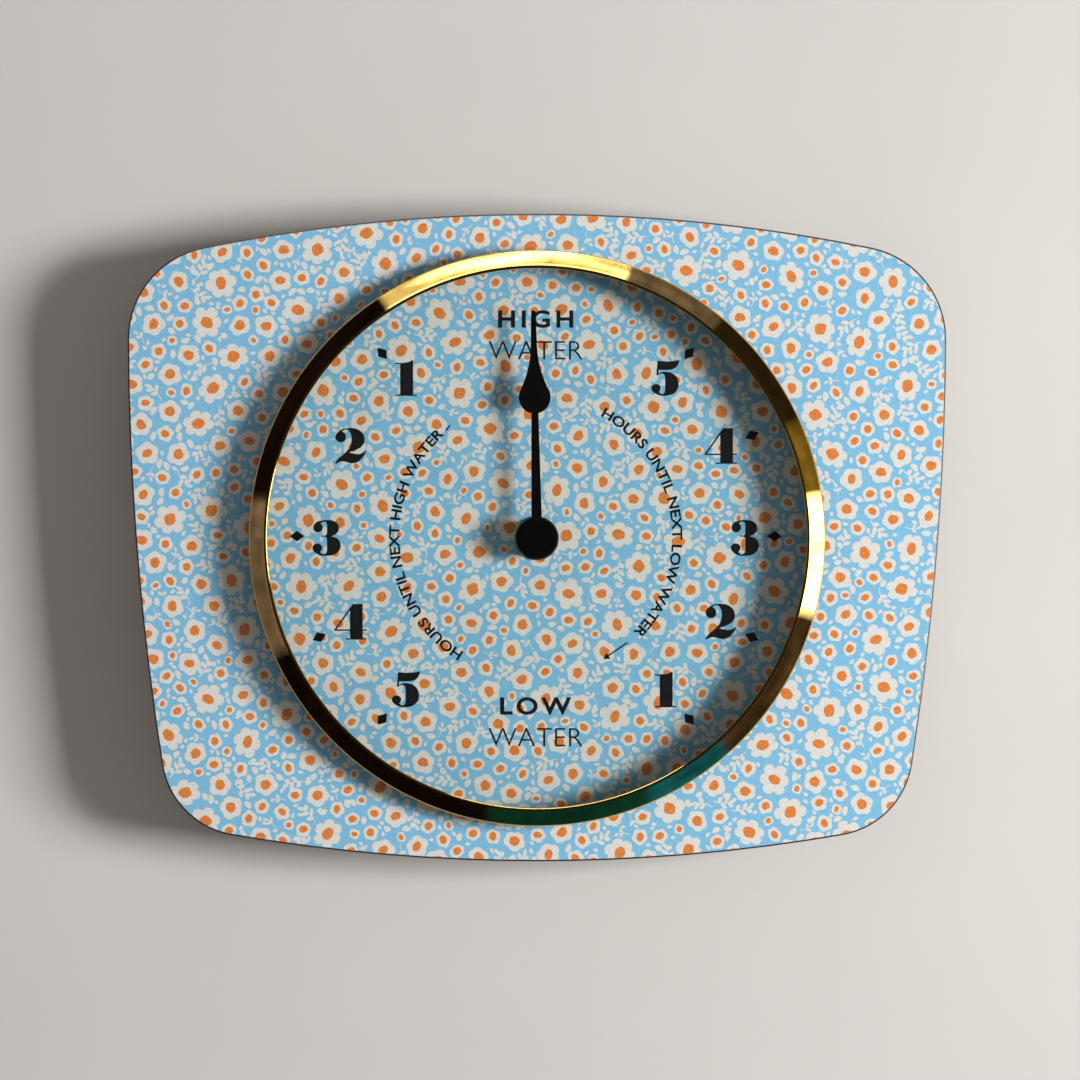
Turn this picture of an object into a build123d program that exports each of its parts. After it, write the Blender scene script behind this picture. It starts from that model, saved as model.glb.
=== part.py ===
from build123d import *
import math
import os

# A tide clock that hangs on a wall: a laminated board with bowed edges, a turned brass bezel with domed
# glass, one spade hand that goes round once in 12 h 25 min, and a battery tide movement behind the board.
#
# The pieces are drawn in the dial's own frame: u to the right, v up and w out of the dial towards the
# viewer, with the hand's axis at u = v = 0 and the face of the dial at w = 0. The last section turns them
# into the part's frame: +Z up, the dial facing -Y, the origin in the middle of the hanging hole.

# Driving dimensions, in millimetres and degrees

# Board outline, from the hand's axis
BOARD_WIDTH = 280.0
BOARD_RISE = 111.0
BOARD_DROP = 110.5
WIDEST_HEIGHT = 72.0
TOP_EDGE_RADIUS = 571.0
BOTTOM_EDGE_RADIUS = 615.0
SIDE_EDGE_RADIUS = 960.0
TOP_CORNER_RADIUS = 32.0
BOTTOM_CORNER_RADIUS = 29.0

# Board layers
LAMINATE_THICKNESS = 0.9
CORE_THICKNESS = 8.0
BACKING_THICKNESS = 0.7
FRONT_BEVEL = 0.6
BACK_BEVEL = 0.4

# Bezel
OPENING_RADIUS = 91.5
BEZEL_FACE_WIDTH = 6.6
BEZEL_WALL_HEIGHT = 7.6
BEZEL_SLOPE = 45.0
RIDGE_WIDTH = 1.2
RIDGE_ROUND = 0.5
SHOULDER_ROUND = 0.4
LIP_DEPTH = 2.0

# Glass and the wire ring that holds it
GLASS_SEAT = 1.8
GLASS_PLAY = 0.3
GLASS_THICKNESS = 2.0
GLASS_RISE = 6.0
WIRE_RADIUS = 0.8
WIRE_SUNK = 0.7
WIRE_GAP_ANGLE = 10.0
WIRE_GAP_PLACE = -90.0

# Bezel screws, from behind the board
BEZEL_SCREWS = 4
BEZEL_SCREW_START = 45.0
BEZEL_SCREW_RADIUS = 1.2
BEZEL_SCREW_BITE = 5.5
BEZEL_HOLE_SPARE = 0.5
BEZEL_HEAD_RIM = 1.4
BEZEL_HEAD_HEIGHT = 2.0
BEZEL_WASHER_RIM = 0.7
BEZEL_WASHER_THICKNESS = 0.6
DRIVER_SLOT_WIDTH = 0.8
DRIVER_SLOT_SHARE = 0.5

# Clearances
RUNNING_PLAY = 0.05
PRESS_PLAY = 0.02
SCREW_PLAY = 0.05
HOLE_PLAY = 0.25
SEAT_GAP = 0.02
END_PLAY = 0.1

# Largest share of a wall that a bevel or a round may take
BEVEL_SHARE = 0.9
ROUND_SHARE = 0.45

# Centre fixing, from the axis outwards
CANNON_PIN_RADIUS = 1.5
TUBE_WALL = 1.0
BUSH_WALL = 1.35
BUSH_FLANGE_RIM = 2.5
BUSH_FLANGE_THICKNESS = 1.0
BUSH_PROUD = 1.0
NUT_WALL = 2.0
NUT_THICKNESS = 2.6
WASHER_RIM = 0.6
WASHER_THICKNESS = 0.8
RUBBER_WIDTH = 8.0
RUBBER_THICKNESS = 1.0

# Hand
HAND_TIP_GAP = 14.1
HAND_LEAN = 0.9
HAND_THICKNESS = 0.7
HAND_STEM_HALF = 1.88
HAND_WAIST_HALF = 1.2
SPADE_RADIUS = 5.42
SPADE_FROM_TIP = 29.6
SPADE_FLANK_ANGLE = 25.0
SPADE_FLANK_REACH = 6.0
NECK_FROM_TIP = 9.3
NECK_HALF = 1.0
NECK_REACH = 8.0
TIP_HALF = 0.8
HUB_RIM = 2.4
CAP_OVERHANG = 1.2
CAP_THICKNESS = 2.6
CAP_ROUND = 1.0
COLLET_LIFT = 0.6
COLLET_HEIGHT = 2.0
COLLET_SHOULDER = 1.0
NECK_WALL = 1.0
NECK_PROUD = 0.3

# Gear train: the hand's side and the motor's side
CANNON_TEETH = 15
MOTION_TEETH = 45
MOTION_PINION_TEETH = 10
HOUR_TEETH = 40
MOTION_MODULE = 0.36
MOTION_ANGLE = 135.0
CENTRE_TEETH = 60
STEP_PINION_TEETH = 10
CENTRE_MODULE = 0.30
STEP_ANGLE = 25.0
STEP_TEETH = 50
ROTOR_TEETH = 10
STEP_MODULE = 0.28
ROTOR_ANGLE = 105.0
PRESSURE_ANGLE = 20.0
ADDENDUM = 0.75
DEDENDUM = 1.1
TOOTH_PLAY = 0.12
FLANK_START = 1.01
WHEEL_THICKNESS = 1.2
PINION_OVERHANG = 0.2
LAYER_GAP = 0.5
ARBOR_RADIUS = 0.9
PIVOT_RADIUS = 0.55
BEARING_DEPTH = 0.9

# Clutch between the motor's side and the hand's side
SPRING_RIM = 2.0
SPRING_THICKNESS = 0.25
COLLAR_RIM = 1.0
COLLAR_THICKNESS = 0.5

# Gear plate
PLATE_THICKNESS = 1.4
PLATE_RIM = 2.6
POST_RADIUS = 2.0
POST_GAP = 0.8
LEFT_POST_ANGLE = 225.0
RIGHT_POST_ANGLE = 315.0
MOTION_POST_ANGLE = 115.0
PLATE_SCREW_RADIUS = 0.7
PLATE_SCREW_LENGTH = 4.0
PLATE_HEAD_RIM = 0.8
PLATE_HEAD_HEIGHT = 0.8

# Motor
MAGNET_RIM = 1.6
MAGNET_LENGTH = 2.5
AIR_GAP = 0.4
STATOR_RIM = 1.5
STATOR_THICKNESS = 1.2
STATOR_BAR_WIDTH = 4.0
COIL_LENGTH = 18.0
COIL_FLANGE_THICKNESS = 1.0
CORE_OVERHANG = 3.5
CORE_WIDTH = 2.4
CORE_BAR_THICKNESS = 1.2
CORE_PLAY = 0.05
BOBBIN_WALL = 0.5
WINDING_DEPTH = 1.1
FLANGE_RIM = 0.2
COIL_ROOM = 0.5
STAKE_POST_RADIUS = 1.5
STAKE_PIN_RADIUS = 0.6
STAKE_PROUD = 0.3

# Electronics
CIRCUIT_HEIGHT = 20.0
CIRCUIT_THICKNESS = 1.0
CIRCUIT_GAP = 2.8
STAKE_INSET = 2.2
CHIP_RADIUS = 3.0
CHIP_HEIGHT = 0.9
CHIP_ROUND = 0.55
CRYSTAL_RADIUS = 1.05
CRYSTAL_LENGTH = 6.0

# Battery and its contacts
BATTERY_RADIUS = 7.25
BATTERY_LENGTH = 50.5
BATTERY_EDGE_ROUND = 0.6
NUB_RADIUS = 2.75
NUB_LENGTH = 1.2
BATTERY_PLAY = 0.35
CONTACT_THICKNESS = 0.4
CONTACT_WIDTH = 6.0
CONTACT_TAIL = 5.0
DIMPLE_RADIUS = 2.4
DIMPLE_TOP_RADIUS = 1.4
DIMPLE_REACH = 0.7
CONTACT_GAP = 0.1

# Movement case
CASE_WALL = 1.5
CASE_CORNER = 3.0
CASE_EDGE_ROUND = 0.5
RIB_GAP = 4.2
RIB_THICKNESS = 1.2
BOSS_RADIUS = 2.4
BOSS_GAP = 0.4
BOSS_SUNK = 0.8
COVER_THICKNESS = 2.4
COVER_SCREW_RADIUS = 1.0
COVER_SCREW_LENGTH = 7.0
COVER_HEAD_RIM = 1.0
COVER_HEAD_HEIGHT = 1.2
WINDOW_PLAY = 0.3

# Setting knob
KNOB_RADIUS = 7.0
KNOB_ROOM = 0.6
KNOB_RECESS = 0.2
KNOB_FLUTES = 20
FLUTE_RADIUS = 0.55

# Hanger
HANGER_HOLE_RADIUS = 3.25
HANGER_RISE = 9.0
HANGER_TOP_RADIUS = 8.5
HANGER_WIDTH = 26.0
HANGER_FOOT_RIM = 0.9
HANGER_THICKNESS = 1.2
HANGER_PLAY = 0.15
RIVET_RADIUS = 1.2
RIVET_SPREAD = 8.0
RIVET_HEAD_RIM = 0.9
RIVET_HEAD_HEIGHT = 0.5

# Depths, from the dial face backwards
LAMINATE_BACK = -LAMINATE_THICKNESS
CORE_BACK = LAMINATE_BACK - CORE_THICKNESS
BOARD_BACK = CORE_BACK - BACKING_THICKNESS
CASE_FRONT = BOARD_BACK - RUBBER_THICKNESS
CASE_FLOOR = CASE_FRONT - CASE_WALL
HOUR_FRONT = CASE_FLOOR - BUSH_FLANGE_THICKNESS - LAYER_GAP
HOUR_BACK = HOUR_FRONT - WHEEL_THICKNESS
MOTION_FRONT = HOUR_BACK - LAYER_GAP
MOTION_BACK = MOTION_FRONT - WHEEL_THICKNESS
CENTRE_FRONT = MOTION_BACK - LAYER_GAP
CENTRE_BACK = CENTRE_FRONT - WHEEL_THICKNESS
SPRING_FRONT = CENTRE_BACK - SEAT_GAP
COLLAR_FRONT = SPRING_FRONT - SPRING_THICKNESS
COLLAR_BACK = COLLAR_FRONT - COLLAR_THICKNESS
STEP_FRONT = COLLAR_BACK - LAYER_GAP
STEP_BACK = STEP_FRONT - WHEEL_THICKNESS
MAGNET_FRONT = STEP_BACK - LAYER_GAP
MAGNET_BACK = MAGNET_FRONT - MAGNET_LENGTH
STATOR_FRONT = (MAGNET_FRONT + MAGNET_BACK + STATOR_THICKNESS) / 2
STATOR_BACK = STATOR_FRONT - STATOR_THICKNESS
PLATE_FRONT = MAGNET_BACK - LAYER_GAP
PLATE_BACK = PLATE_FRONT - PLATE_THICKNESS
CASE_RIM = PLATE_BACK - PLATE_HEAD_HEIGHT - END_PLAY
REAR = CASE_RIM - COVER_THICKNESS
KNOB_FRONT = PLATE_BACK - LAYER_GAP
KNOB_BACK = REAR + KNOB_RECESS
RECESS_BOTTOM = REAR + HANGER_THICKNESS + RIVET_HEAD_HEIGHT
HANGER_BACK = RECESS_BOTTOM - HANGER_THICKNESS
BATTERY_DEPTH = CASE_FLOOR - BATTERY_PLAY - BATTERY_RADIUS

# Heights in front of the dial
BUSH_FRONT = WASHER_THICKNESS + NUT_THICKNESS + BUSH_PROUD
COLLET_BACK = BUSH_FRONT + COLLET_LIFT
HAND_BACK = COLLET_BACK + COLLET_HEIGHT
HAND_FRONT = HAND_BACK + HAND_THICKNESS
NECK_FRONT = HAND_FRONT + NECK_PROUD
RIDGE_HEIGHT = BEZEL_WALL_HEIGHT + (BEZEL_FACE_WIDTH - RIDGE_WIDTH) * math.tan(math.radians(BEZEL_SLOPE))
LIP_UNDER = RIDGE_HEIGHT - LIP_DEPTH

# Radii about the hand's axis
TUBE_BORE = CANNON_PIN_RADIUS + RUNNING_PLAY
TUBE_RADIUS = TUBE_BORE + TUBE_WALL
BUSH_BORE = TUBE_RADIUS + RUNNING_PLAY
BUSH_RADIUS = BUSH_BORE + BUSH_WALL
BUSH_HOLE = BUSH_RADIUS + HOLE_PLAY
NUT_HALF_WIDTH = BUSH_RADIUS + NUT_WALL
NUT_CORNER = NUT_HALF_WIDTH / math.cos(math.pi / 6)
COLLET_BORE = TUBE_RADIUS + PRESS_PLAY
NECK_RADIUS = COLLET_BORE + NECK_WALL
HUB_RADIUS = NECK_RADIUS + HUB_RIM
CAP_RADIUS = HUB_RADIUS + CAP_OVERHANG
HAND_LENGTH = OPENING_RADIUS - HAND_TIP_GAP
BEZEL_RADIUS = OPENING_RADIUS + BEZEL_FACE_WIDTH
SEAT_RADIUS = OPENING_RADIUS + GLASS_SEAT
GLASS_RADIUS = SEAT_RADIUS - GLASS_PLAY


def polar(radius, angle, about=(0.0, 0.0)):
    """The point at a distance and an angle from another one."""
    turn = math.radians(angle)
    return (about[0] + radius * math.cos(turn), about[1] + radius * math.sin(turn))


def tip_radius(module, teeth):
    """The outer radius of a wheel."""
    return module * (teeth / 2 + ADDENDUM)


def root_radius(module, teeth):
    """The radius of the gaps between a wheel's teeth."""
    return module * (teeth / 2 - DEDENDUM)


# Places in the movement
MOTION_DISTANCE = MOTION_MODULE * (CANNON_TEETH + MOTION_TEETH) / 2
HOUR_MODULE = 2 * MOTION_DISTANCE / (MOTION_PINION_TEETH + HOUR_TEETH)
MOTION_AXIS = polar(MOTION_DISTANCE, MOTION_ANGLE)
STEP_AXIS = polar(CENTRE_MODULE * (CENTRE_TEETH + STEP_PINION_TEETH) / 2, STEP_ANGLE)
ROTOR_AXIS = polar(STEP_MODULE * (STEP_TEETH + ROTOR_TEETH) / 2, ROTOR_ANGLE, STEP_AXIS)
CENTRAL_REACH = max(tip_radius(HOUR_MODULE, HOUR_TEETH), tip_radius(CENTRE_MODULE, CENTRE_TEETH))
POST_DISTANCE = CENTRAL_REACH + POST_RADIUS + POST_GAP
POST_MOTION_DISTANCE = tip_radius(MOTION_MODULE, MOTION_TEETH) + POST_RADIUS + POST_GAP
PLATE_POSTS = (
    polar(POST_DISTANCE, LEFT_POST_ANGLE),
    polar(POST_DISTANCE, RIGHT_POST_ANGLE),
    polar(POST_MOTION_DISTANCE, MOTION_POST_ANGLE, MOTION_AXIS),
)
MAGNET_RADIUS = ARBOR_RADIUS + MAGNET_RIM
STATOR_HOLE = MAGNET_RADIUS + AIR_GAP
STATOR_RADIUS = STATOR_HOLE + STATOR_RIM
BOBBIN_RADIUS = math.hypot(CORE_WIDTH / 2 + CORE_PLAY, CORE_BAR_THICKNESS / 2 + CORE_PLAY) + BOBBIN_WALL
WINDING_RADIUS = BOBBIN_RADIUS + PRESS_PLAY + WINDING_DEPTH
FLANGE_RADIUS = WINDING_RADIUS + FLANGE_RIM
COIL_U = ROTOR_AXIS[0]
COIL_V = ROTOR_AXIS[1] + STATOR_RADIUS + FLANGE_RADIUS + COIL_ROOM
COIL_DEPTH = STATOR_FRONT + CORE_BAR_THICKNESS / 2
CORE_LENGTH = COIL_LENGTH + 2 * CORE_OVERHANG
STATOR_POST_OUT = COIL_LENGTH / 2 + CORE_OVERHANG / 2
STATOR_POST_V = COIL_V - CORE_WIDTH / 2 - STAKE_POST_RADIUS - BOSS_GAP
STATOR_POSTS = ((COIL_U - STATOR_POST_OUT, STATOR_POST_V), (COIL_U + STATOR_POST_OUT, STATOR_POST_V))

# Movement case, from what it holds
INNER_HALF = BATTERY_LENGTH / 2 + CONTACT_GAP + DIMPLE_REACH + CONTACT_THICKNESS
CASE_HALF = INNER_HALF + CASE_WALL
RIB_TOP = -(CENTRAL_REACH + RIB_GAP)
RIB_BOTTOM = RIB_TOP - RIB_THICKNESS
BATTERY_V = RIB_BOTTOM - BATTERY_PLAY - BATTERY_RADIUS
INNER_BOTTOM = BATTERY_V - BATTERY_RADIUS - BATTERY_PLAY
INNER_TOP = COIL_V + FLANGE_RADIUS + COIL_ROOM
CASE_BOTTOM = INNER_BOTTOM - CASE_WALL
CASE_TOP = INNER_TOP + CASE_WALL
BOSS_U = INNER_HALF - CONTACT_THICKNESS - BOSS_GAP - BOSS_RADIUS
BOSS_LOW = RIB_TOP + CONTACT_THICKNESS + BOSS_GAP + BOSS_RADIUS
BOSS_HIGH = INNER_TOP - BOSS_RADIUS + BOSS_SUNK
COVER_BOSSES = ((-BOSS_U, BOSS_LOW), (BOSS_U, BOSS_LOW), (-BOSS_U, BOSS_HIGH), (BOSS_U, BOSS_HIGH))
CIRCUIT_LEFT = -INNER_HALF + CONTACT_THICKNESS + RUNNING_PLAY
CIRCUIT_RIGHT = MOTION_AXIS[0] - ARBOR_RADIUS - CIRCUIT_GAP
CIRCUIT_BOTTOM = BOSS_LOW + BOSS_RADIUS + BOSS_GAP
CIRCUIT_TOP = CIRCUIT_BOTTOM + CIRCUIT_HEIGHT
CIRCUIT_BACK = STATOR_FRONT - CIRCUIT_THICKNESS
CIRCUIT_POSTS = (
    (CIRCUIT_LEFT + STAKE_INSET, CIRCUIT_BOTTOM + STAKE_INSET),
    (CIRCUIT_LEFT + STAKE_INSET, CIRCUIT_TOP - STAKE_INSET),
)
HANGER_V = CASE_TOP + HANGER_RISE
RIVET_HEAD_RADIUS = RIVET_RADIUS + RIVET_HEAD_RIM
RIVET_V = INNER_TOP - BOSS_GAP - RIVET_HEAD_RADIUS
RIVETS = ((-RIVET_SPREAD, RIVET_V), (RIVET_SPREAD, RIVET_V))
HANGER_FOOT = RIVET_V - RIVET_HEAD_RADIUS - HANGER_FOOT_RIM
BEZEL_SCREW_CIRCLE = (SEAT_RADIUS + WIRE_SUNK + BEZEL_RADIUS) / 2
BEZEL_SCREW_PLACES = [
    polar(BEZEL_SCREW_CIRCLE, BEZEL_SCREW_START + turn * 360 / BEZEL_SCREWS) for turn in range(BEZEL_SCREWS)
]


def disc(radius, back, front, at=(0.0, 0.0)):
    """A round solid along w, between two depths."""
    align = (Align.CENTER, Align.CENTER, Align.MIN)
    return Pos(at[0], at[1], back) * Cylinder(radius, front - back, align=align)


def slab(outline, back, front):
    """A flat outline given its thickness between two depths."""
    return extrude(Pos(0, 0, back) * outline, amount=front - back)


def block(left, right, bottom, top, back, front):
    """A rectangular solid given by its six sides."""
    align = (Align.MIN, Align.MIN, Align.MIN)
    return Pos(left, bottom, back) * Box(right - left, top - bottom, front - back, align=align)


def turned(outline):
    """A section drawn in (radius, w), turned about the hand's axis."""
    return revolve(Plane.XZ * outline, axis=Axis.Z)


def group(solids):
    """Separate solids that share a node."""
    return Compound(children=list(solids))


def wheel(module, teeth, phase, back, front, at=(0.0, 0.0)):
    """A spur wheel with a tooth centred on the phase angle, its flanks straight between involute points."""
    pitch_radius = module * teeth / 2
    base_radius = pitch_radius * math.cos(math.radians(PRESSURE_ANGLE))
    half_tooth = math.pi / (2 * teeth) - TOOTH_PLAY * module / (2 * pitch_radius)

    def involute(radius):
        slant = math.acos(min(1.0, base_radius / radius))
        return math.tan(slant) - slant

    root = root_radius(module, teeth)
    radii = (root, max(base_radius, root * FLANK_START), pitch_radius, tip_radius(module, teeth))
    half_angles = [half_tooth + involute(pitch_radius) - involute(radius) for radius in radii]
    flank = list(zip(radii, half_angles))
    points = []
    for tooth in range(teeth):
        middle = math.radians(phase) + tooth * 2 * math.pi / teeth
        for radius, half in flank:
            points.append((radius * math.cos(middle - half), radius * math.sin(middle - half)))
        for radius, half in reversed(flank):
            points.append((radius * math.cos(middle + half), radius * math.sin(middle + half)))
    outline = make_face(Polyline(*points, close=True))
    return slab(Pos(at[0], at[1]) * outline, back, front)


def meshing_phase(teeth, phase, mate_teeth, direction):
    """The phase that puts a tooth gap of the mate on each tooth, along the line between the two axes."""
    along = ((direction - phase) * teeth / 360) % 1
    return direction + 180 - (0.5 - along) * 360 / mate_teeth


# Board

def board_outline():
    """Four bowed edges, each an arc of a large circle, joined by rounded corners."""
    side_centre = BOARD_WIDTH / 2 - SIDE_EDGE_RADIUS
    outline = Pos(0, BOARD_RISE - TOP_EDGE_RADIUS) * Circle(TOP_EDGE_RADIUS)
    outline &= Pos(0, BOTTOM_EDGE_RADIUS - BOARD_DROP) * Circle(BOTTOM_EDGE_RADIUS)
    outline &= Pos(side_centre, WIDEST_HEIGHT) * Circle(SIDE_EDGE_RADIUS)
    outline &= Pos(-side_centre, WIDEST_HEIGHT) * Circle(SIDE_EDGE_RADIUS)
    corners = outline.vertices().sort_by(Axis.Y)
    outline = fillet(corners[:2], BOTTOM_CORNER_RADIUS)
    return fillet(outline.vertices().sort_by(Axis.Y)[-2:], TOP_CORNER_RADIUS)


def drilled_board(back, front):
    """One layer of the board, with the holes for the bush and the bezel screws."""
    layer = slab(OUTLINE, back, front)
    layer -= disc(BUSH_HOLE, back, front)
    for place in BEZEL_SCREW_PLACES:
        layer -= disc(BEZEL_SCREW_RADIUS + HOLE_PLAY, back, front, place)
    return layer


def rim_edges(layer, depth):
    """The outer edges of a board layer at one depth."""
    face = layer.faces().filter_by(Axis.Z).sort_by(lambda one: abs(one.center().Z - depth))[0]
    return face.outer_wire().edges()


def dial_laminate():
    layer = drilled_board(LAMINATE_BACK, 0)
    return chamfer(rim_edges(layer, 0), min(FRONT_BEVEL, LAMINATE_THICKNESS * BEVEL_SHARE))


def back_laminate():
    layer = drilled_board(BOARD_BACK, CORE_BACK)
    return chamfer(rim_edges(layer, BOARD_BACK), min(BACK_BEVEL, BACKING_THICKNESS * BEVEL_SHARE))


# Bezel and glass

def glass_sphere():
    """The radius of the glass's outer face and the height of its centre above the dial."""
    sphere = (GLASS_RADIUS ** 2 + GLASS_RISE ** 2) / (2 * GLASS_RISE)
    rise_at_lip = math.sqrt(sphere ** 2 - OPENING_RADIUS ** 2)
    return sphere, LIP_UNDER - SEAT_GAP - rise_at_lip


def glass_rim_bottom():
    """The height of the lower edge of the glass."""
    sphere, centre = glass_sphere()
    return centre + math.sqrt((sphere - GLASS_THICKNESS) ** 2 - GLASS_RADIUS ** 2)


WIRE_CENTRE = (SEAT_RADIUS + WIRE_SUNK - WIRE_RADIUS, glass_rim_bottom() - WIRE_RADIUS - SEAT_GAP)


def bezel_ring():
    section = make_face(
        Polyline(
            (SEAT_RADIUS, 0),
            (BEZEL_RADIUS, 0),
            (BEZEL_RADIUS, BEZEL_WALL_HEIGHT),
            (OPENING_RADIUS + RIDGE_WIDTH, RIDGE_HEIGHT),
            (OPENING_RADIUS, RIDGE_HEIGHT),
            (OPENING_RADIUS, LIP_UNDER),
            (SEAT_RADIUS, LIP_UNDER),
            close=True,
        )
    )
    ridge = [point for point in section.vertices() if abs(point.Y - RIDGE_HEIGHT) < SEAT_GAP]
    section = fillet(ridge, min(RIDGE_ROUND, RIDGE_WIDTH * ROUND_SHARE))
    shoulder = section.vertices().sort_by_distance((BEZEL_RADIUS, BEZEL_WALL_HEIGHT))[0]
    section = fillet(shoulder, SHOULDER_ROUND)
    section -= Pos(*WIRE_CENTRE) * Circle(WIRE_RADIUS + RUNNING_PLAY)
    ring = turned(section)
    for place in BEZEL_SCREW_PLACES:
        ring -= disc(BEZEL_SCREW_RADIUS + SCREW_PLAY, 0, BEZEL_SCREW_BITE + BEZEL_HOLE_SPARE, place)
    return ring


def glass():
    sphere, centre = glass_sphere()
    inner = sphere - GLASS_THICKNESS

    def on(radius, out):
        return (out, centre + math.sqrt(radius ** 2 - out ** 2))

    section = make_face(
        [
            ThreePointArc(on(sphere, 0), on(sphere, GLASS_RADIUS / 2), on(sphere, GLASS_RADIUS)),
            Line(on(sphere, GLASS_RADIUS), on(inner, GLASS_RADIUS)),
            ThreePointArc(on(inner, GLASS_RADIUS), on(inner, GLASS_RADIUS / 2), on(inner, 0)),
            Line(on(inner, 0), on(sphere, 0)),
        ]
    )
    return turned(section)


def glass_ring():
    """A wire ring sprung into a groove of the bezel, with a gap to squeeze it by."""
    section = Plane.XZ * (Pos(*WIRE_CENTRE) * Circle(WIRE_RADIUS))
    wire = revolve(section, axis=Axis.Z, revolution_arc=360 - WIRE_GAP_ANGLE)
    return Rot(0, 0, WIRE_GAP_PLACE + WIRE_GAP_ANGLE / 2) * wire


def slotted_screw(shank_radius, tip, head_front, head_back, head_rim, at):
    """A screw put in from behind, with a slot across its head."""
    slot_depth = (head_front - head_back) * DRIVER_SLOT_SHARE
    head = disc(shank_radius + head_rim, head_back, head_front, at)
    reach = shank_radius + head_rim
    half = DRIVER_SLOT_WIDTH / 2
    head -= block(at[0] - reach, at[0] + reach, at[1] - half, at[1] + half, head_back, head_back + slot_depth)
    return head + disc(shank_radius, head_front, tip, at)


def bezel_screws():
    head_front = BOARD_BACK - BEZEL_WASHER_THICKNESS
    head_back = head_front - BEZEL_HEAD_HEIGHT
    return group(
        slotted_screw(BEZEL_SCREW_RADIUS, BEZEL_SCREW_BITE, head_front, head_back, BEZEL_HEAD_RIM, place)
        for place in BEZEL_SCREW_PLACES
    )


def bezel_washers():
    back = BOARD_BACK - BEZEL_WASHER_THICKNESS
    rim = BEZEL_SCREW_RADIUS + BEZEL_HEAD_RIM + BEZEL_WASHER_RIM
    return group(
        disc(rim, back, BOARD_BACK, place) - disc(BEZEL_SCREW_RADIUS + SCREW_PLAY, back, BOARD_BACK, place)
        for place in BEZEL_SCREW_PLACES
    )


# Centre fixing

def threaded_bush():
    flange_back = CASE_FLOOR - BUSH_FLANGE_THICKNESS
    bush = disc(BUSH_RADIUS, flange_back, BUSH_FRONT)
    bush += disc(BUSH_RADIUS + BUSH_FLANGE_RIM, flange_back, CASE_FLOOR)
    return bush - disc(BUSH_BORE, flange_back, BUSH_FRONT)


def fixing_nut():
    front = WASHER_THICKNESS + NUT_THICKNESS
    nut = slab(RegularPolygon(NUT_CORNER, 6), WASHER_THICKNESS, front)
    return nut - disc(BUSH_RADIUS + SCREW_PLAY, WASHER_THICKNESS, front)


def brass_washer():
    return disc(NUT_CORNER + WASHER_RIM, 0, WASHER_THICKNESS) - disc(BUSH_HOLE, 0, WASHER_THICKNESS)


def rubber_washer():
    return disc(BUSH_RADIUS + RUBBER_WIDTH, CASE_FRONT, BOARD_BACK) - disc(BUSH_HOLE, CASE_FRONT, BOARD_BACK)


# Hand

def tide_hand():
    """A straight stem, a spade that narrows to a needle, and a round hub."""
    spade = (0.0, HAND_LENGTH - SPADE_FROM_TIP)
    neck = (NECK_HALF, HAND_LENGTH - NECK_FROM_TIP)
    tip = (0.0, HAND_LENGTH - TIP_HALF)
    waist_angle = -math.degrees(math.acos(HAND_WAIST_HALF / SPADE_RADIUS))
    waist = polar(SPADE_RADIUS, waist_angle, spade)
    under = polar(SPADE_RADIUS, (waist_angle + SPADE_FLANK_ANGLE) / 2, spade)
    flank = polar(SPADE_RADIUS, SPADE_FLANK_ANGLE, spade)
    flank_pull = polar(SPADE_FLANK_REACH, SPADE_FLANK_ANGLE + 90, flank)
    neck_pull = (NECK_HALF, neck[1] - NECK_REACH)
    right = [
        Line((0, 0), (HAND_STEM_HALF, 0)),
        Line((HAND_STEM_HALF, 0), waist),
        ThreePointArc(waist, under, flank),
        Bezier(flank, flank_pull, neck_pull, neck),
        Line(neck, polar(TIP_HALF, 0, tip)),
        ThreePointArc(polar(TIP_HALF, 0, tip), polar(TIP_HALF, 45, tip), polar(TIP_HALF, 90, tip)),
        Line((0, HAND_LENGTH), (0, 0)),
    ]
    half = make_face(right)
    outline = half + mirror(half, about=Plane.YZ) + Circle(HUB_RADIUS)
    outline -= Circle(NECK_RADIUS + PRESS_PLAY)
    return slab(Rot(0, 0, HAND_LEAN) * outline, HAND_BACK, HAND_FRONT)


def hand_collet():
    collet = disc(NECK_RADIUS + COLLET_SHOULDER, COLLET_BACK, HAND_BACK)
    collet += disc(NECK_RADIUS, HAND_BACK, NECK_FRONT)
    return collet - disc(COLLET_BORE, COLLET_BACK, NECK_FRONT)


def hand_cap():
    cap = disc(CAP_RADIUS, HAND_FRONT, HAND_FRONT + CAP_THICKNESS)
    rim = cap.edges().filter_by(GeomType.CIRCLE).sort_by(Axis.Z)[-1]
    cap = fillet(rim, min(CAP_ROUND, CAP_THICKNESS * ROUND_SHARE))
    return cap - disc(NECK_RADIUS + PRESS_PLAY, HAND_FRONT, NECK_FRONT + SEAT_GAP)


# Gear train

CANNON_PHASE = 0.0
MOTION_PHASE = meshing_phase(CANNON_TEETH, CANNON_PHASE, MOTION_TEETH, MOTION_ANGLE)
MOTION_PINION_PHASE = 0.0
HOUR_PHASE = meshing_phase(MOTION_PINION_TEETH, MOTION_PINION_PHASE, HOUR_TEETH, MOTION_ANGLE + 180)
CENTRE_PHASE = 0.0
STEP_PINION_PHASE = meshing_phase(CENTRE_TEETH, CENTRE_PHASE, STEP_PINION_TEETH, STEP_ANGLE)
STEP_PHASE = 0.0
ROTOR_PHASE = meshing_phase(STEP_TEETH, STEP_PHASE, ROTOR_TEETH, ROTOR_ANGLE)


def pivoted_arbor(at, back):
    """An arbor between the case's floor and the gear plate, with a thinner pivot at each end."""
    arbor = disc(ARBOR_RADIUS, PLATE_FRONT + END_PLAY, CASE_FLOOR - END_PLAY, at)
    return arbor + disc(PIVOT_RADIUS, back, CASE_FLOOR + BEARING_DEPTH - END_PLAY, at)


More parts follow.
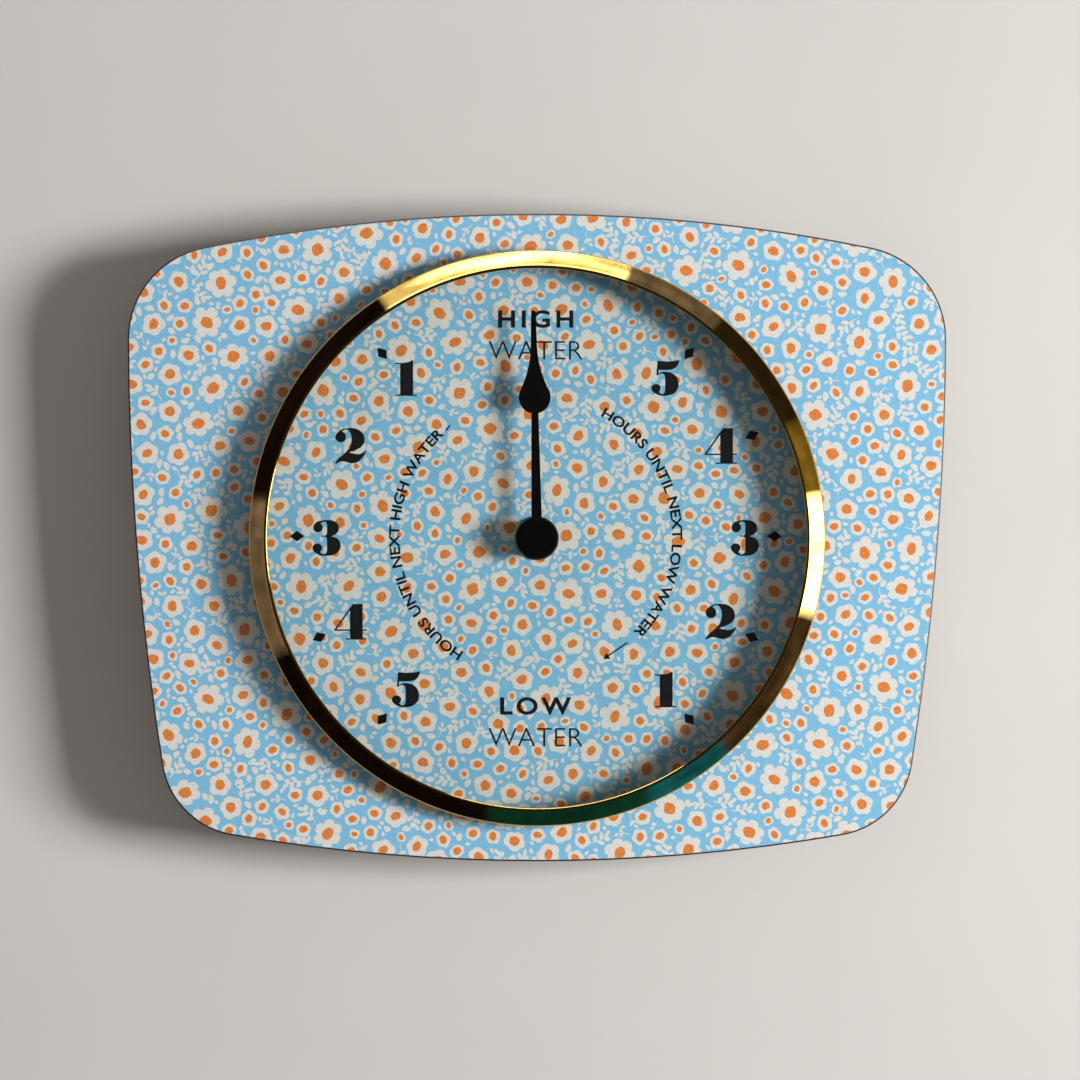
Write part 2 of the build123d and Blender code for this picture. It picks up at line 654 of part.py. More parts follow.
def hour_wheel():
    hour = wheel(HOUR_MODULE, HOUR_TEETH, HOUR_PHASE, HOUR_BACK, HOUR_FRONT)
    hour += disc(TUBE_RADIUS, HOUR_BACK, NECK_FRONT)
    return hour - disc(TUBE_BORE, HOUR_BACK, NECK_FRONT)


def motion_wheel():
    """The wheel between cannon and hour wheel, whose arbor also carries the setting knob."""
    motion = pivoted_arbor(MOTION_AXIS, KNOB_BACK)
    motion += wheel(MOTION_MODULE, MOTION_TEETH, MOTION_PHASE, MOTION_BACK, MOTION_FRONT, MOTION_AXIS)
    pinion_front = HOUR_FRONT + PINION_OVERHANG
    motion += wheel(
        HOUR_MODULE, MOTION_PINION_TEETH, MOTION_PINION_PHASE, MOTION_FRONT, pinion_front, MOTION_AXIS
    )
    return motion


def cannon_pinion():
    pinion_front = MOTION_FRONT + PINION_OVERHANG
    pinion = wheel(MOTION_MODULE, CANNON_TEETH, CANNON_PHASE, CENTRE_FRONT + SEAT_GAP, pinion_front)
    pinion += disc(CANNON_PIN_RADIUS, PLATE_FRONT + END_PLAY, BUSH_FRONT)
    return pinion + disc(PIVOT_RADIUS, PLATE_BACK, PLATE_FRONT + END_PLAY)


def centre_wheel():
    centre = wheel(CENTRE_MODULE, CENTRE_TEETH, CENTRE_PHASE, CENTRE_BACK, CENTRE_FRONT)
    return centre - disc(CANNON_PIN_RADIUS + RUNNING_PLAY, CENTRE_BACK, CENTRE_FRONT)


def clutch_washer(rim, back, front):
    """A flat ring pressed on the cannon's pin."""
    bore = CANNON_PIN_RADIUS + PRESS_PLAY
    return disc(bore + rim, back, front) - disc(bore, back, front)


def step_wheel():
    step = pivoted_arbor(STEP_AXIS, PLATE_BACK)
    step += wheel(STEP_MODULE, STEP_TEETH, STEP_PHASE, STEP_BACK, STEP_FRONT, STEP_AXIS)
    back = CENTRE_BACK - PINION_OVERHANG
    front = CENTRE_FRONT + PINION_OVERHANG
    return step + wheel(CENTRE_MODULE, STEP_PINION_TEETH, STEP_PINION_PHASE, back, front, STEP_AXIS)


def rotor_pinion():
    back = STEP_BACK - PINION_OVERHANG
    front = STEP_FRONT + PINION_OVERHANG
    rotor = pivoted_arbor(ROTOR_AXIS, PLATE_BACK)
    return rotor + wheel(STEP_MODULE, ROTOR_TEETH, ROTOR_PHASE, back, front, ROTOR_AXIS)


def rotor_magnet():
    magnet = disc(MAGNET_RADIUS, MAGNET_BACK, MAGNET_FRONT, ROTOR_AXIS)
    return magnet - disc(ARBOR_RADIUS + PRESS_PLAY, MAGNET_BACK, MAGNET_FRONT, ROTOR_AXIS)


def setting_knob():
    """A fluted thumb knob in a round opening of the cover."""
    knob = disc(KNOB_RADIUS, KNOB_BACK, KNOB_FRONT, MOTION_AXIS)
    for flute in range(KNOB_FLUTES):
        place = polar(KNOB_RADIUS, flute * 360 / KNOB_FLUTES, MOTION_AXIS)
        knob -= disc(FLUTE_RADIUS, KNOB_BACK, KNOB_FRONT, place)
    return knob - disc(PIVOT_RADIUS + PRESS_PLAY, KNOB_BACK, KNOB_FRONT, MOTION_AXIS)


def gear_plate():
    """The plate that carries the rear pivots, drawn tight round its posts and pivots."""
    bearings = ((0.0, 0.0), MOTION_AXIS, STEP_AXIS, ROTOR_AXIS)
    rounds = [Pos(*place) * Circle(PLATE_RIM) for place in PLATE_POSTS + bearings]
    plate = slab(make_hull([edge for one in rounds for edge in one.edges()]), PLATE_BACK, PLATE_FRONT)
    for place in bearings:
        plate -= disc(PIVOT_RADIUS + RUNNING_PLAY, PLATE_BACK, PLATE_FRONT, place)
    for place in PLATE_POSTS:
        plate -= disc(PLATE_SCREW_RADIUS + SCREW_PLAY, PLATE_BACK, PLATE_FRONT, place)
    return plate


def plate_screws():
    tip = PLATE_BACK + PLATE_SCREW_LENGTH
    head_back = PLATE_BACK - PLATE_HEAD_HEIGHT
    return group(
        slotted_screw(PLATE_SCREW_RADIUS, tip, PLATE_BACK, head_back, PLATE_HEAD_RIM, place)
        for place in PLATE_POSTS
    )


# Motor

def stator():
    """A yoke round the rotor whose two legs meet the ends of the coil's core."""
    inner = COIL_LENGTH / 2 + BOSS_GAP
    outer = COIL_LENGTH / 2 + CORE_OVERHANG
    bottom = ROTOR_AXIS[1] - STATOR_BAR_WIDTH / 2
    top = COIL_V + CORE_WIDTH / 2
    yoke = block(COIL_U - outer, COIL_U + outer, bottom, bottom + STATOR_BAR_WIDTH, STATOR_BACK, STATOR_FRONT)
    yoke += block(COIL_U - outer, COIL_U - inner, bottom, top, STATOR_BACK, STATOR_FRONT)
    yoke += block(COIL_U + inner, COIL_U + outer, bottom, top, STATOR_BACK, STATOR_FRONT)
    yoke += disc(STATOR_RADIUS, STATOR_BACK, STATOR_FRONT, ROTOR_AXIS)
    yoke -= disc(STATOR_HOLE, STATOR_BACK, STATOR_FRONT, ROTOR_AXIS)
    for place in STATOR_POSTS:
        yoke -= disc(STAKE_PIN_RADIUS + SCREW_PLAY, STATOR_BACK, STATOR_FRONT, place)
    return yoke


def along_coil(radius, left, right):
    """A round solid on the coil's axis, between two places along u."""
    align = (Align.CENTER, Align.CENTER, Align.MIN)
    return Pos(left, COIL_V, COIL_DEPTH) * Rot(0, 90, 0) * Cylinder(radius, right - left, align=align)


def core_bar(left, right, play):
    """The flat bar through the coil, or the hole for it."""
    bottom = COIL_V - CORE_WIDTH / 2 - play
    top = COIL_V + CORE_WIDTH / 2 + play
    back = COIL_DEPTH - CORE_BAR_THICKNESS / 2 - play
    front = COIL_DEPTH + CORE_BAR_THICKNESS / 2 + play
    return block(left, right, bottom, top, back, front)


def coil_core():
    return core_bar(COIL_U - CORE_LENGTH / 2, COIL_U + CORE_LENGTH / 2, 0)


def coil_bobbin():
    left = COIL_U - COIL_LENGTH / 2
    right = COIL_U + COIL_LENGTH / 2
    bobbin = along_coil(BOBBIN_RADIUS, left, right)
    bobbin += along_coil(FLANGE_RADIUS, left, left + COIL_FLANGE_THICKNESS)
    bobbin += along_coil(FLANGE_RADIUS, right - COIL_FLANGE_THICKNESS, right)
    return bobbin - core_bar(left, right, CORE_PLAY)


def coil_winding():
    left = COIL_U - COIL_LENGTH / 2 + COIL_FLANGE_THICKNESS + SEAT_GAP
    right = COIL_U + COIL_LENGTH / 2 - COIL_FLANGE_THICKNESS - SEAT_GAP
    return along_coil(WINDING_RADIUS, left, right) - along_coil(BOBBIN_RADIUS + PRESS_PLAY, left, right)


# Electronics and battery

def circuit_board():
    plate = block(CIRCUIT_LEFT, CIRCUIT_RIGHT, CIRCUIT_BOTTOM, CIRCUIT_TOP, CIRCUIT_BACK, STATOR_FRONT)
    for place in CIRCUIT_POSTS:
        plate -= disc(STAKE_PIN_RADIUS + SCREW_PLAY, CIRCUIT_BACK, STATOR_FRONT, place)
    return plate


CIRCUIT_MIDDLE = ((CIRCUIT_LEFT + CIRCUIT_RIGHT) / 2, (CIRCUIT_BOTTOM + CIRCUIT_TOP) / 2)


def control_chip():
    """The potting drop over the tide circuit."""
    place = (CIRCUIT_MIDDLE[0], CIRCUIT_MIDDLE[1] - CHIP_RADIUS)
    drop = disc(CHIP_RADIUS, CIRCUIT_BACK - CHIP_HEIGHT, CIRCUIT_BACK, place)
    rim = drop.edges().filter_by(GeomType.CIRCLE).sort_by(Axis.Z)[0]
    return fillet(rim, min(CHIP_ROUND, CHIP_HEIGHT * BEVEL_SHARE))


def quartz_crystal():
    """A small round can lying on the circuit board."""
    place = Pos(
        CIRCUIT_MIDDLE[0] - CRYSTAL_LENGTH / 2,
        CIRCUIT_MIDDLE[1] + CHIP_RADIUS,
        CIRCUIT_BACK - CRYSTAL_RADIUS - SEAT_GAP,
    )
    align = (Align.CENTER, Align.CENTER, Align.MIN)
    return place * Rot(0, 90, 0) * Cylinder(CRYSTAL_RADIUS, CRYSTAL_LENGTH, align=align)


def along_battery(radius, left, right):
    """A round solid on the battery's axis, between two places along u."""
    align = (Align.CENTER, Align.CENTER, Align.MIN)
    return Pos(left, BATTERY_V, BATTERY_DEPTH) * Rot(0, 90, 0) * Cylinder(radius, right - left, align=align)


def battery():
    end = BATTERY_LENGTH / 2
    can = along_battery(BATTERY_RADIUS, -end, end - NUB_LENGTH)
    can = fillet(can.edges().filter_by(GeomType.CIRCLE), BATTERY_EDGE_ROUND)
    return can + along_battery(NUB_RADIUS, end - NUB_LENGTH, end)


def dimple(side):
    """The raised button of a contact that the battery's end presses on."""
    align = (Align.CENTER, Align.CENTER, Align.MIN)
    cone = Rot(0, -side * 90, 0) * Cone(DIMPLE_RADIUS, DIMPLE_TOP_RADIUS, DIMPLE_REACH, align=align)
    return Pos(side * (INNER_HALF - CONTACT_THICKNESS), BATTERY_V, BATTERY_DEPTH) * cone


CONTACT_BACK = BATTERY_DEPTH - CONTACT_WIDTH / 2
CONTACT_FRONT = BATTERY_DEPTH + CONTACT_WIDTH / 2
CONTACT_LOW = BATTERY_V - CONTACT_TAIL


def negative_contact():
    """A strip along the left wall, up to the edge of the circuit board."""
    left = -INNER_HALF
    top = CIRCUIT_BOTTOM + CONTACT_TAIL
    strip = block(left, left + CONTACT_THICKNESS, CONTACT_LOW, top, CONTACT_BACK, CONTACT_FRONT)
    return strip + dimple(-1)


def positive_contact():
    """A strip along the right wall, bent along the rib and up again to the circuit board."""
    right = INNER_HALF
    tail_end = -BOSS_U + BOSS_RADIUS + BOSS_GAP
    rib_line = RIB_TOP + CONTACT_THICKNESS
    strip = block(right - CONTACT_THICKNESS, right, CONTACT_LOW, rib_line, CONTACT_BACK, CONTACT_FRONT)
    strip += block(tail_end, right, RIB_TOP, rib_line, CONTACT_BACK, CONTACT_FRONT)
    tab_top = CIRCUIT_BOTTOM - SEAT_GAP
    strip += block(tail_end, tail_end + CONTACT_THICKNESS, RIB_TOP, tab_top, CONTACT_BACK, CONTACT_FRONT)
    return strip + dimple(1)


# Movement case

def case_outline(inset):
    """The rounded square of the case, or of its inside."""
    width = 2 * (CASE_HALF - inset)
    height = CASE_TOP - CASE_BOTTOM - 2 * inset
    corner = max(CASE_CORNER - inset, CASE_EDGE_ROUND)
    return Pos(0, (CASE_TOP + CASE_BOTTOM) / 2) * RectangleRounded(width, height, corner)


def staked_post(place, top, pin_back):
    """A post that carries a flat piece, with a pin melted over it."""
    post = disc(STAKE_POST_RADIUS, top, CASE_FLOOR, place)
    return post + disc(STAKE_PIN_RADIUS, pin_back - STAKE_PROUD, top, place)


def movement_case():
    shell = slab(case_outline(0), CASE_RIM, CASE_FRONT)
    shell = chamfer(shell.faces().sort_by(Axis.Z)[-1].edges(), CASE_EDGE_ROUND)
    shell -= slab(case_outline(CASE_WALL), CASE_RIM, CASE_FLOOR)
    rib_half = INNER_HALF - CONTACT_THICKNESS - BOSS_GAP
    shell += block(-rib_half, rib_half, RIB_BOTTOM, RIB_TOP, CASE_RIM, CASE_FLOOR)
    for place in COVER_BOSSES:
        shell += disc(BOSS_RADIUS, CASE_RIM, CASE_FLOOR, place)
        pilot = COVER_SCREW_RADIUS + PRESS_PLAY
        shell -= disc(pilot, CASE_RIM, CASE_RIM + COVER_SCREW_LENGTH + END_PLAY, place)
    for place in PLATE_POSTS:
        shell += disc(POST_RADIUS, PLATE_FRONT, CASE_FLOOR, place)
        pilot = PLATE_SCREW_RADIUS + PRESS_PLAY
        shell -= disc(pilot, PLATE_FRONT, PLATE_BACK + PLATE_SCREW_LENGTH + END_PLAY, place)
    for place in STATOR_POSTS:
        shell += staked_post(place, STATOR_FRONT, STATOR_BACK)
    for place in CIRCUIT_POSTS:
        shell += staked_post(place, STATOR_FRONT, CIRCUIT_BACK)
    for place in (MOTION_AXIS, STEP_AXIS, ROTOR_AXIS):
        shell -= disc(PIVOT_RADIUS + RUNNING_PLAY, CASE_FLOOR, CASE_FLOOR + BEARING_DEPTH, place)
    return shell - disc(BUSH_RADIUS + PRESS_PLAY, CASE_FLOOR, CASE_FRONT)


def hanger_outline(play):
    """A plate that narrows upwards to a round end about the hanging hole."""
    half = HANGER_WIDTH / 2 + play
    low = HANGER_FOOT - play
    foot = Polyline((-half, low), (half, low), (half, CASE_TOP), (-half, CASE_TOP), close=True)
    head = Pos(0, HANGER_V) * Circle(HANGER_TOP_RADIUS + play)
    return make_hull(list(foot.edges()) + list(head.edges()))


def hanger_plate():
    plate = slab(hanger_outline(0), HANGER_BACK, RECESS_BOTTOM)
    plate -= disc(HANGER_HOLE_RADIUS, HANGER_BACK, RECESS_BOTTOM, (0, HANGER_V))
    for place in RIVETS:
        plate -= disc(RIVET_RADIUS + PRESS_PLAY, HANGER_BACK, RECESS_BOTTOM, place)
    return plate


def hanger_rivets():
    """Two rivets through the hanger plate and the cover."""
    return group(
        disc(RIVET_RADIUS, HANGER_BACK, CASE_RIM, place)
        + disc(RIVET_HEAD_RADIUS, HANGER_BACK - RIVET_HEAD_HEIGHT, HANGER_BACK, place)
        + disc(RIVET_HEAD_RADIUS, CASE_RIM, CASE_RIM + RIVET_HEAD_HEIGHT, place)
        for place in RIVETS
    )


def rear_cover():
    cover = slab(case_outline(0), REAR, CASE_RIM)
    cover = chamfer(cover.faces().sort_by(Axis.Z)[0].edges(), CASE_EDGE_ROUND)
    half = BATTERY_LENGTH / 2 + WINDOW_PLAY
    reach = BATTERY_RADIUS + WINDOW_PLAY
    cover -= block(-half, half, BATTERY_V - reach, BATTERY_V + reach, REAR, CASE_RIM)
    cover -= disc(KNOB_RADIUS + KNOB_ROOM, REAR, CASE_RIM, MOTION_AXIS)
    cover -= slab(hanger_outline(HANGER_PLAY), REAR, RECESS_BOTTOM)
    for place in RIVETS:
        cover -= disc(RIVET_RADIUS + PRESS_PLAY, RECESS_BOTTOM, CASE_RIM, place)
    for place in COVER_BOSSES:
        cover -= disc(COVER_SCREW_RADIUS + SCREW_PLAY, REAR, CASE_RIM, place)
        head = COVER_SCREW_RADIUS + COVER_HEAD_RIM + SCREW_PLAY
        cover -= disc(head, REAR, REAR + COVER_HEAD_HEIGHT, place)
    return cover


def cover_screws():
    head_front = REAR + COVER_HEAD_HEIGHT
    tip = CASE_RIM + COVER_SCREW_LENGTH
    return group(
        slotted_screw(COVER_SCREW_RADIUS, tip, head_front, REAR, COVER_HEAD_RIM, place)
        for place in COVER_BOSSES
    )


# Every piece in the part's frame

OUTLINE = board_outline()
PIECES = {
    "dial_laminate": dial_laminate(),
    "core_board": drilled_board(CORE_BACK, LAMINATE_BACK),
    "back_laminate": back_laminate(),
    "bezel_ring": bezel_ring(),
    "glass": glass(),
    "glass_ring": glass_ring(),
    "bezel_screws": bezel_screws(),
    "bezel_washers": bezel_washers(),
    "threaded_bush": threaded_bush(),
    "fixing_nut": fixing_nut(),
    "brass_washer": brass_washer(),
    "rubber_washer": rubber_washer(),
    "tide_hand": tide_hand(),
    "hand_collet": hand_collet(),
    "hand_cap": hand_cap(),
    "hour_wheel": hour_wheel(),
    "motion_wheel": motion_wheel(),
    "setting_knob": setting_knob(),
    "cannon_pinion": cannon_pinion(),
    "clutch_spring": clutch_washer(SPRING_RIM, COLLAR_FRONT, SPRING_FRONT),
    "clutch_collar": clutch_washer(COLLAR_RIM, COLLAR_BACK, COLLAR_FRONT),
    "centre_wheel": centre_wheel(),
    "step_wheel": step_wheel(),
    "rotor_pinion": rotor_pinion(),
    "rotor_magnet": rotor_magnet(),
    "gear_plate": gear_plate(),
    "plate_screws": plate_screws(),
    "stator": stator(),
    "coil_core": coil_core(),
    "coil_bobbin": coil_bobbin(),
    "coil_winding": coil_winding(),
    "circuit_board": circuit_board(),
    "control_chip": control_chip(),
    "quartz_crystal": quartz_crystal(),
    "battery": battery(),
    "negative_contact": negative_contact(),
    "positive_contact": positive_contact(),
    "movement_case": movement_case(),
    "rear_cover": rear_cover(),
    "cover_screws": cover_screws(),
    "hanger_plate": hanger_plate(),
    "hanger_rivets": hanger_rivets(),
}

HANGER_DEPTH = HANGER_BACK + HANGER_THICKNESS / 2
TO_PART = Pos(0, HANGER_DEPTH, -HANGER_V) * Rot(90, 0, 0)

os.makedirs("parts", exist_ok=True)
for name, piece in PIECES.items():
    export_step(TO_PART * piece, os.path.join("parts", name + ".step"))


def in_part(at, depth):
    """A point of the dial's frame, in the part's frame."""
    return tuple(round(value, 4) for value in (at[0], HANGER_DEPTH - depth, at[1] - HANGER_V))


print("hand axis", in_part((0, 0), 0))
print("motion axis", in_part(MOTION_AXIS, MOTION_BACK))
print("step axis", in_part(STEP_AXIS, STEP_BACK))
print("rotor axis", in_part(ROTOR_AXIS, MAGNET_BACK))
print("battery axis", in_part((0, BATTERY_V), BATTERY_DEPTH))
print("rear face", in_part((0, RIB_TOP + BOSS_RADIUS), REAR))
print("hanging hole", in_part((0, HANGER_V), HANGER_DEPTH))
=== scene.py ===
"""Looks of a wall tide clock: its printed board, brass bezel, glass, hand and movement."""

import math
import random

import bmesh
import bpy
from bpy.props import FloatProperty, FloatVectorProperty, IntProperty, PointerProperty
from mathutils import Matrix, Vector
from mathutils.bvhtree import BVHTree


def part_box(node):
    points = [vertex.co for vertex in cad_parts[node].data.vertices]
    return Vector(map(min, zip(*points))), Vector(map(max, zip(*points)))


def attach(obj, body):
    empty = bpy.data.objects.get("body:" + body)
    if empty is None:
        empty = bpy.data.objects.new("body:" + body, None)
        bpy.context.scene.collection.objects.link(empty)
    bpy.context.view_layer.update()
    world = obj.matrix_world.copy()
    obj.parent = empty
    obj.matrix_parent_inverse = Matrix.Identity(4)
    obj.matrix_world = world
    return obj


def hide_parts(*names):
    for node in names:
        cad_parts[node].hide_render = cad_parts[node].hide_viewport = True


bl_info = {
    "name": "Tide Clock",
    "version": (1, 0, 0),
    "blender": (4, 5, 0),
    "location": "3D View > Sidebar > Tide Clock",
    "description": "Prints, glazes, finishes and lights a wall tide clock around its solid parts",
    "category": "Object",
}

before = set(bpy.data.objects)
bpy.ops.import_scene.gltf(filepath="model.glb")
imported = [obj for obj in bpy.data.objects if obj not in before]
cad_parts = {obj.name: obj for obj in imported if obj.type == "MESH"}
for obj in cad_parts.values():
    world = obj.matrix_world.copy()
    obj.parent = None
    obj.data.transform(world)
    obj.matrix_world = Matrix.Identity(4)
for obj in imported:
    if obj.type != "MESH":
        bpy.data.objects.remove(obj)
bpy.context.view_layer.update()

MM = 0.001
TAU = 2 * math.pi

# Places taken from the solid parts
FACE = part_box("dial_laminate")[0].y
BOARD_LOW, BOARD_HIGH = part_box("dial_laminate")
BEZEL_LOW, BEZEL_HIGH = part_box("bezel_ring")
GLASS_LOW, GLASS_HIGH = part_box("glass")
BATTERY_LOW, BATTERY_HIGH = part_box("battery")
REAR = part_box("rear_cover")[1].y
AXIS_HEIGHT = (BEZEL_LOW.z + BEZEL_HIGH.z) / 2
BEZEL_RADIUS = (BEZEL_HIGH.x - BEZEL_LOW.x) / 2
BEZEL_HEIGHT = FACE - BEZEL_LOW.y
GLASS_RADIUS = (GLASS_HIGH.x - GLASS_LOW.x) / 2
UPRIGHT = Matrix.Rotation(math.pi / 2, 4, "X")
ON_DIAL = Matrix.Translation((0, FACE, AXIS_HEIGHT)) @ UPRIGHT

# Numerals in hundredths of their height: a plain point is a corner and one marked ~ lies on a curve
NUMERALS = {
    "1": [
        "0 0, 60 0, 60 3.6, 50 3.6, 50 100, 47.5 100, ~40 95.5, ~25 92.6,"
        "0.5 92.6, 0 89.2, 14 88, 14 3.6, 0 3.6"
    ],
    "2": [
        "~1.5 77.6, ~13.8 93, ~38 100, ~69.8 93, ~83.2 69, ~75 49, ~58.6 39.2, 39.9 32.1, ~55 28.4,"
        "~70 27.6, ~79 31, 85.4 36, 87.7 34.3, ~79 19.8, ~66.5 7, ~53 2, ~40 3, ~25 6.7, ~13.8 5.6,"
        "3.4 0, 0 1.9, ~10 15.3, ~28.7 31, ~41.8 47.8, ~46.6 66, ~44 85, ~36 95, ~26.5 95, 20 90, ~27 86.2,"
        "~31 75.7, ~26.9 64.6, ~16.4 60.4, ~5.6 64.6"
    ],
    "3": [
        "~2.6 80, ~9.4 92.5, ~25 98.6, ~41.5 100, ~64.2 95.1, ~74.3 79.2, ~68.5 63.5, 54 54.3,"
        "~71 47.4, ~79.2 27.2, ~67.9 7.5, ~41.5 0, ~15.1 4.5, ~0.4 20.8, ~4.4 31, ~14 34.7,"
        "~24 30.6, ~27.2 20.8, 21.5 10.4, ~30 4.7, ~38 7.5, 41.1 17, 41.1 46, ~38 52.4, 26.4 53.6,"
        "26.4 56.6, ~38 57.8, 41.1 64, 41.1 86, ~38 94, ~30.5 95.2, 22.8 90.6, ~27.3 85.7, ~29 78.5,"
        "~24.8 69.6, ~15.1 65.7, ~5.9 69.6"
    ],
    "4": [
        "31.4 0, 90.6 0, 90.6 3.6, 79.2 3.6, 79.2 24.5, 90.6 24.5, 90.6 28.6, 79.2 28.6, 79.2 100, 51.5 100,"
        "0 28.2, 0 24.5, 43.7 24.5, 43.7 3.6, 31.4 3.6",
        "43.7 28.6, 6.4 28.6, 43.7 82",
    ],
    "5": [
        "18.4 98.6, ~40.8 96.3, ~62.1 97.2, 77.5 100, 79.8 99.3, ~75 86, ~65.5 76.5, ~50 72.7, 21.6 72.7,"
        "20.4 62.4, ~29 66, ~42.6 67.4, ~66 58.5, ~77 33.7, ~67.4 9.9, ~40.8 0, ~16 4.3, ~1.1 19.5,"
        "~4.9 29.4, ~14.2 33, ~23.6 29.2, ~27 20.2, 21.8 10.4, ~30 4.7, ~36.5 8, 39.7 18, 39.7 49,"
        "~37 58.8, ~30 62.2, ~22.5 60, 17 56.6, 14.9 57.6"
    ],
}
# How much wider than in the plain font a letter may be drawn, and how far letters may be spaced out
WIDEST_LETTERS = 1.14
WIDEST_SPACING = 1.3
# Tries to find a free place for each kind of motif
THROWS = 40000
# Hours to go on each side of the dial, from the top row to the lowest
LEFT_HOURS = "12345"
RIGHT_HOURS = "54321"
# Where the numerals of each row stand, in millimetres aside from and above the middle of the print
HOUR_ROWS = ((44.3, 54.0), (63.2, 30.8), (71.4, -0.6), (63.2, -29.2), (44.3, -52.3))
# The row on the left that has no diamond
BARE_ROW = 1
# The face of the pressed laminate: its patches and grain in millimetres, its roughness and its relief
PRESSED_FACE = (0.9, 0.45, (0.36, 0.46), 0.004)
# Points on the rim of each petal, of a flower's middle and of a leaf
PETAL_POINTS = 6
MIDDLE_POINTS = 12
LEAF_POINTS = 10
# Parts of a sprig as shares of its length
STALK_WIDTH = 0.055
STALK_BOW = 0.5
LEAF_REACH = 0.16
LEAF_ASIDE = 0.14
LEAF_OVAL = 0.58
# How much higher each leaf of a sprig lies than the one before, as a share of the ink
LEAF_STEP = 0.06


def length(name, description, millimetres):
    """A size that the user may change."""
    size = millimetres * MM
    return FloatProperty(name=name, description=description, default=size, unit="LENGTH", precision=5)


def angle(name, description, degrees):
    """An angle that the user may change."""
    return FloatProperty(name=name, description=description, default=math.radians(degrees), subtype="ANGLE")


def linear(code):
    """An sRGB hex colour as linear red, green, blue and alpha."""
    shares = [int(code[at : at + 2], 16) / 255 for at in (0, 2, 4)]
    return [s / 12.92 if s <= 0.04045 else ((s + 0.055) / 1.055) ** 2.4 for s in shares] + [1.0]


def shade(name, description, code):
    """A colour that the user may change."""
    return FloatVectorProperty(
        name=name, description=description, default=linear(code), size=4, min=0, max=1, subtype="COLOR"
    )


class FlowerSettings(bpy.types.PropertyGroup):
    """Sizes and colours of the printed flowers."""

    seed: IntProperty(name="Layout", description="Which layout of the flowers is printed", default=11)
    rose: length("Rose radius", "Reach of the largest flowers", 5.8)
    blossom: length("Blossom radius", "Reach of the middle flowers", 4.4)
    bud: length("Bud radius", "Reach of the small flowers", 3.0)
    floret: length("Floret radius", "Reach of the smallest flowers", 2.0)
    stalk: length("Stalk length", "Length of a sprig from end to end", 7.6)
    leaf: length("Leaf length", "Length of a leaf from stalk to tip", 3.6)
    leaflet: length("Leaflet length", "Length of the leaflets that fill the ground", 2.2)
    gap: length("Ground gap", "Least bare ground between two motifs", 0.26)
    ink: length("Ink height", "Thickness of one layer of ink", 0.02)
    ground: shade("Ground", "Sky blue printed under the flowers", "86C6E9")
    petal: shade("Petals", "Cream of petals and leaves", "E6E5DF")
    centre: shade("Centres", "Orange of the flowers' middles", "E8883E")


class DialSettings(bpy.types.PropertyGroup):
    """Sizes of what is printed for reading the tide."""

    ink: length("Ink height", "Thickness of the black ink above the board", 0.05)
    numeral: length("Numeral height", "Height of the hour numerals", 12.2)
    print_right: length("Print right", "How far the print's middle lies right of the hand's axis", -0.4)
    print_up: length("Print up", "How far the print's middle lies above the hand's axis", 0.7)
    hour_step: angle("Hour step", "Angle between two diamonds, seen from the print's middle", 25)
    diamond_circle: length("Diamond circle", "Radius at which the hour diamonds stand", 81.5)
    diamond_length: length("Diamond length", "Radial length of an hour diamond", 5.1)
    diamond_width: length("Diamond width", "Width of an hour diamond", 3.6)
    high_word: length("High word", "Height of the upper words above the print's middle", 68.8)
    low_word: length("Low word", "Depth of the lower words below the print's middle", 63.3)
    word_height: length("Word height", "Height of the capitals of the two-line words", 6.2)
    word_width: length("Word width", "Width of each of the two-line words", 31.0)
    word_pitch: length("Word pitch", "Distance between the two lines", 10.8)
    legend_circle: length("Legend circle", "Radius of the foot of the curved legends", 46.5)
    legend_height: length("Legend height", "Height of the capitals of the curved legends", 3.7)
    rule_width: length("Rule width", "Width of the arrow's shaft and of the dash", 0.5)
    arrow_head: length("Arrow head", "Reach of the arrow's head from its middle", 1.4)
    charcoal: shade("Charcoal", "Ink of the numerals and words", "181617")
    black: shade("Black", "Ink of the diamonds and legends", "0A0909")


class BezelSettings(bpy.types.PropertyGroup):
    """Section of the brass ring."""

    opening: length("Opening radius", "Radius of the inner edge", 91.5)
    wall: length("Wall height", "Height of the straight outer wall", 7.6)
    ridge: length("Ridge width", "Width of the flat ridge before it is rounded", 1.2)
    round: length("Ridge round", "Radius of the rounded ridge", 0.5)
    shoulder: length("Shoulder round", "Radius between the wall and the conical face", 0.4)
    seat: length("Glass seat", "Width of the step that holds the glass", 1.8)
    lip: length("Lip depth", "Depth of the lip over the glass", 2.0)
    steps: IntProperty(name="Steps", description="Facets round the ring", default=288)
    brass: shade("Brass", "Reflected colour of the polished brass", "E2B862")


class GlassSettings(bpy.types.PropertyGroup):
    """Section of the domed glass."""

    rise: length("Rise", "Height of the dome's crown above its rim", 6.0)
    thickness: length("Thickness", "Thickness of the glass", 2.0)
    rounds: IntProperty(name="Rings", description="Rings of faces from crown to rim", default=24)
    steps: IntProperty(name="Steps", description="Facets round the glass", default=192)


class StageSettings(bpy.types.PropertyGroup):
    """Camera, lamps and backdrop."""

    distance: length("Camera distance", "From the camera to the dial", 1500)
    framed: length("Framed width", "Width of the picture at the dial", 369.2)
    right: length("Camera right", "Camera's offset to the right of the hand's axis", 1.06)
    below: length("Camera below", "Camera's offset below the hand's axis", 0.6)
    key_angle: angle("Key angle", "Angle of the key lamp from straight ahead, to the right", 56)
    key_distance: length("Key distance", "From the key lamp to the dial", 2000)
    key_size: length("Key size", "Side of the key lamp", 560)
    key_power: FloatProperty(name="Key power", description="Power of the key lamp", default=51, unit="POWER")
    fill: FloatProperty(name="Fill", description="Brightness of the even light of the room", default=0.2)
    pale: shade("Backdrop", "Pale paint of the wall and the floor", "DBD8D3")


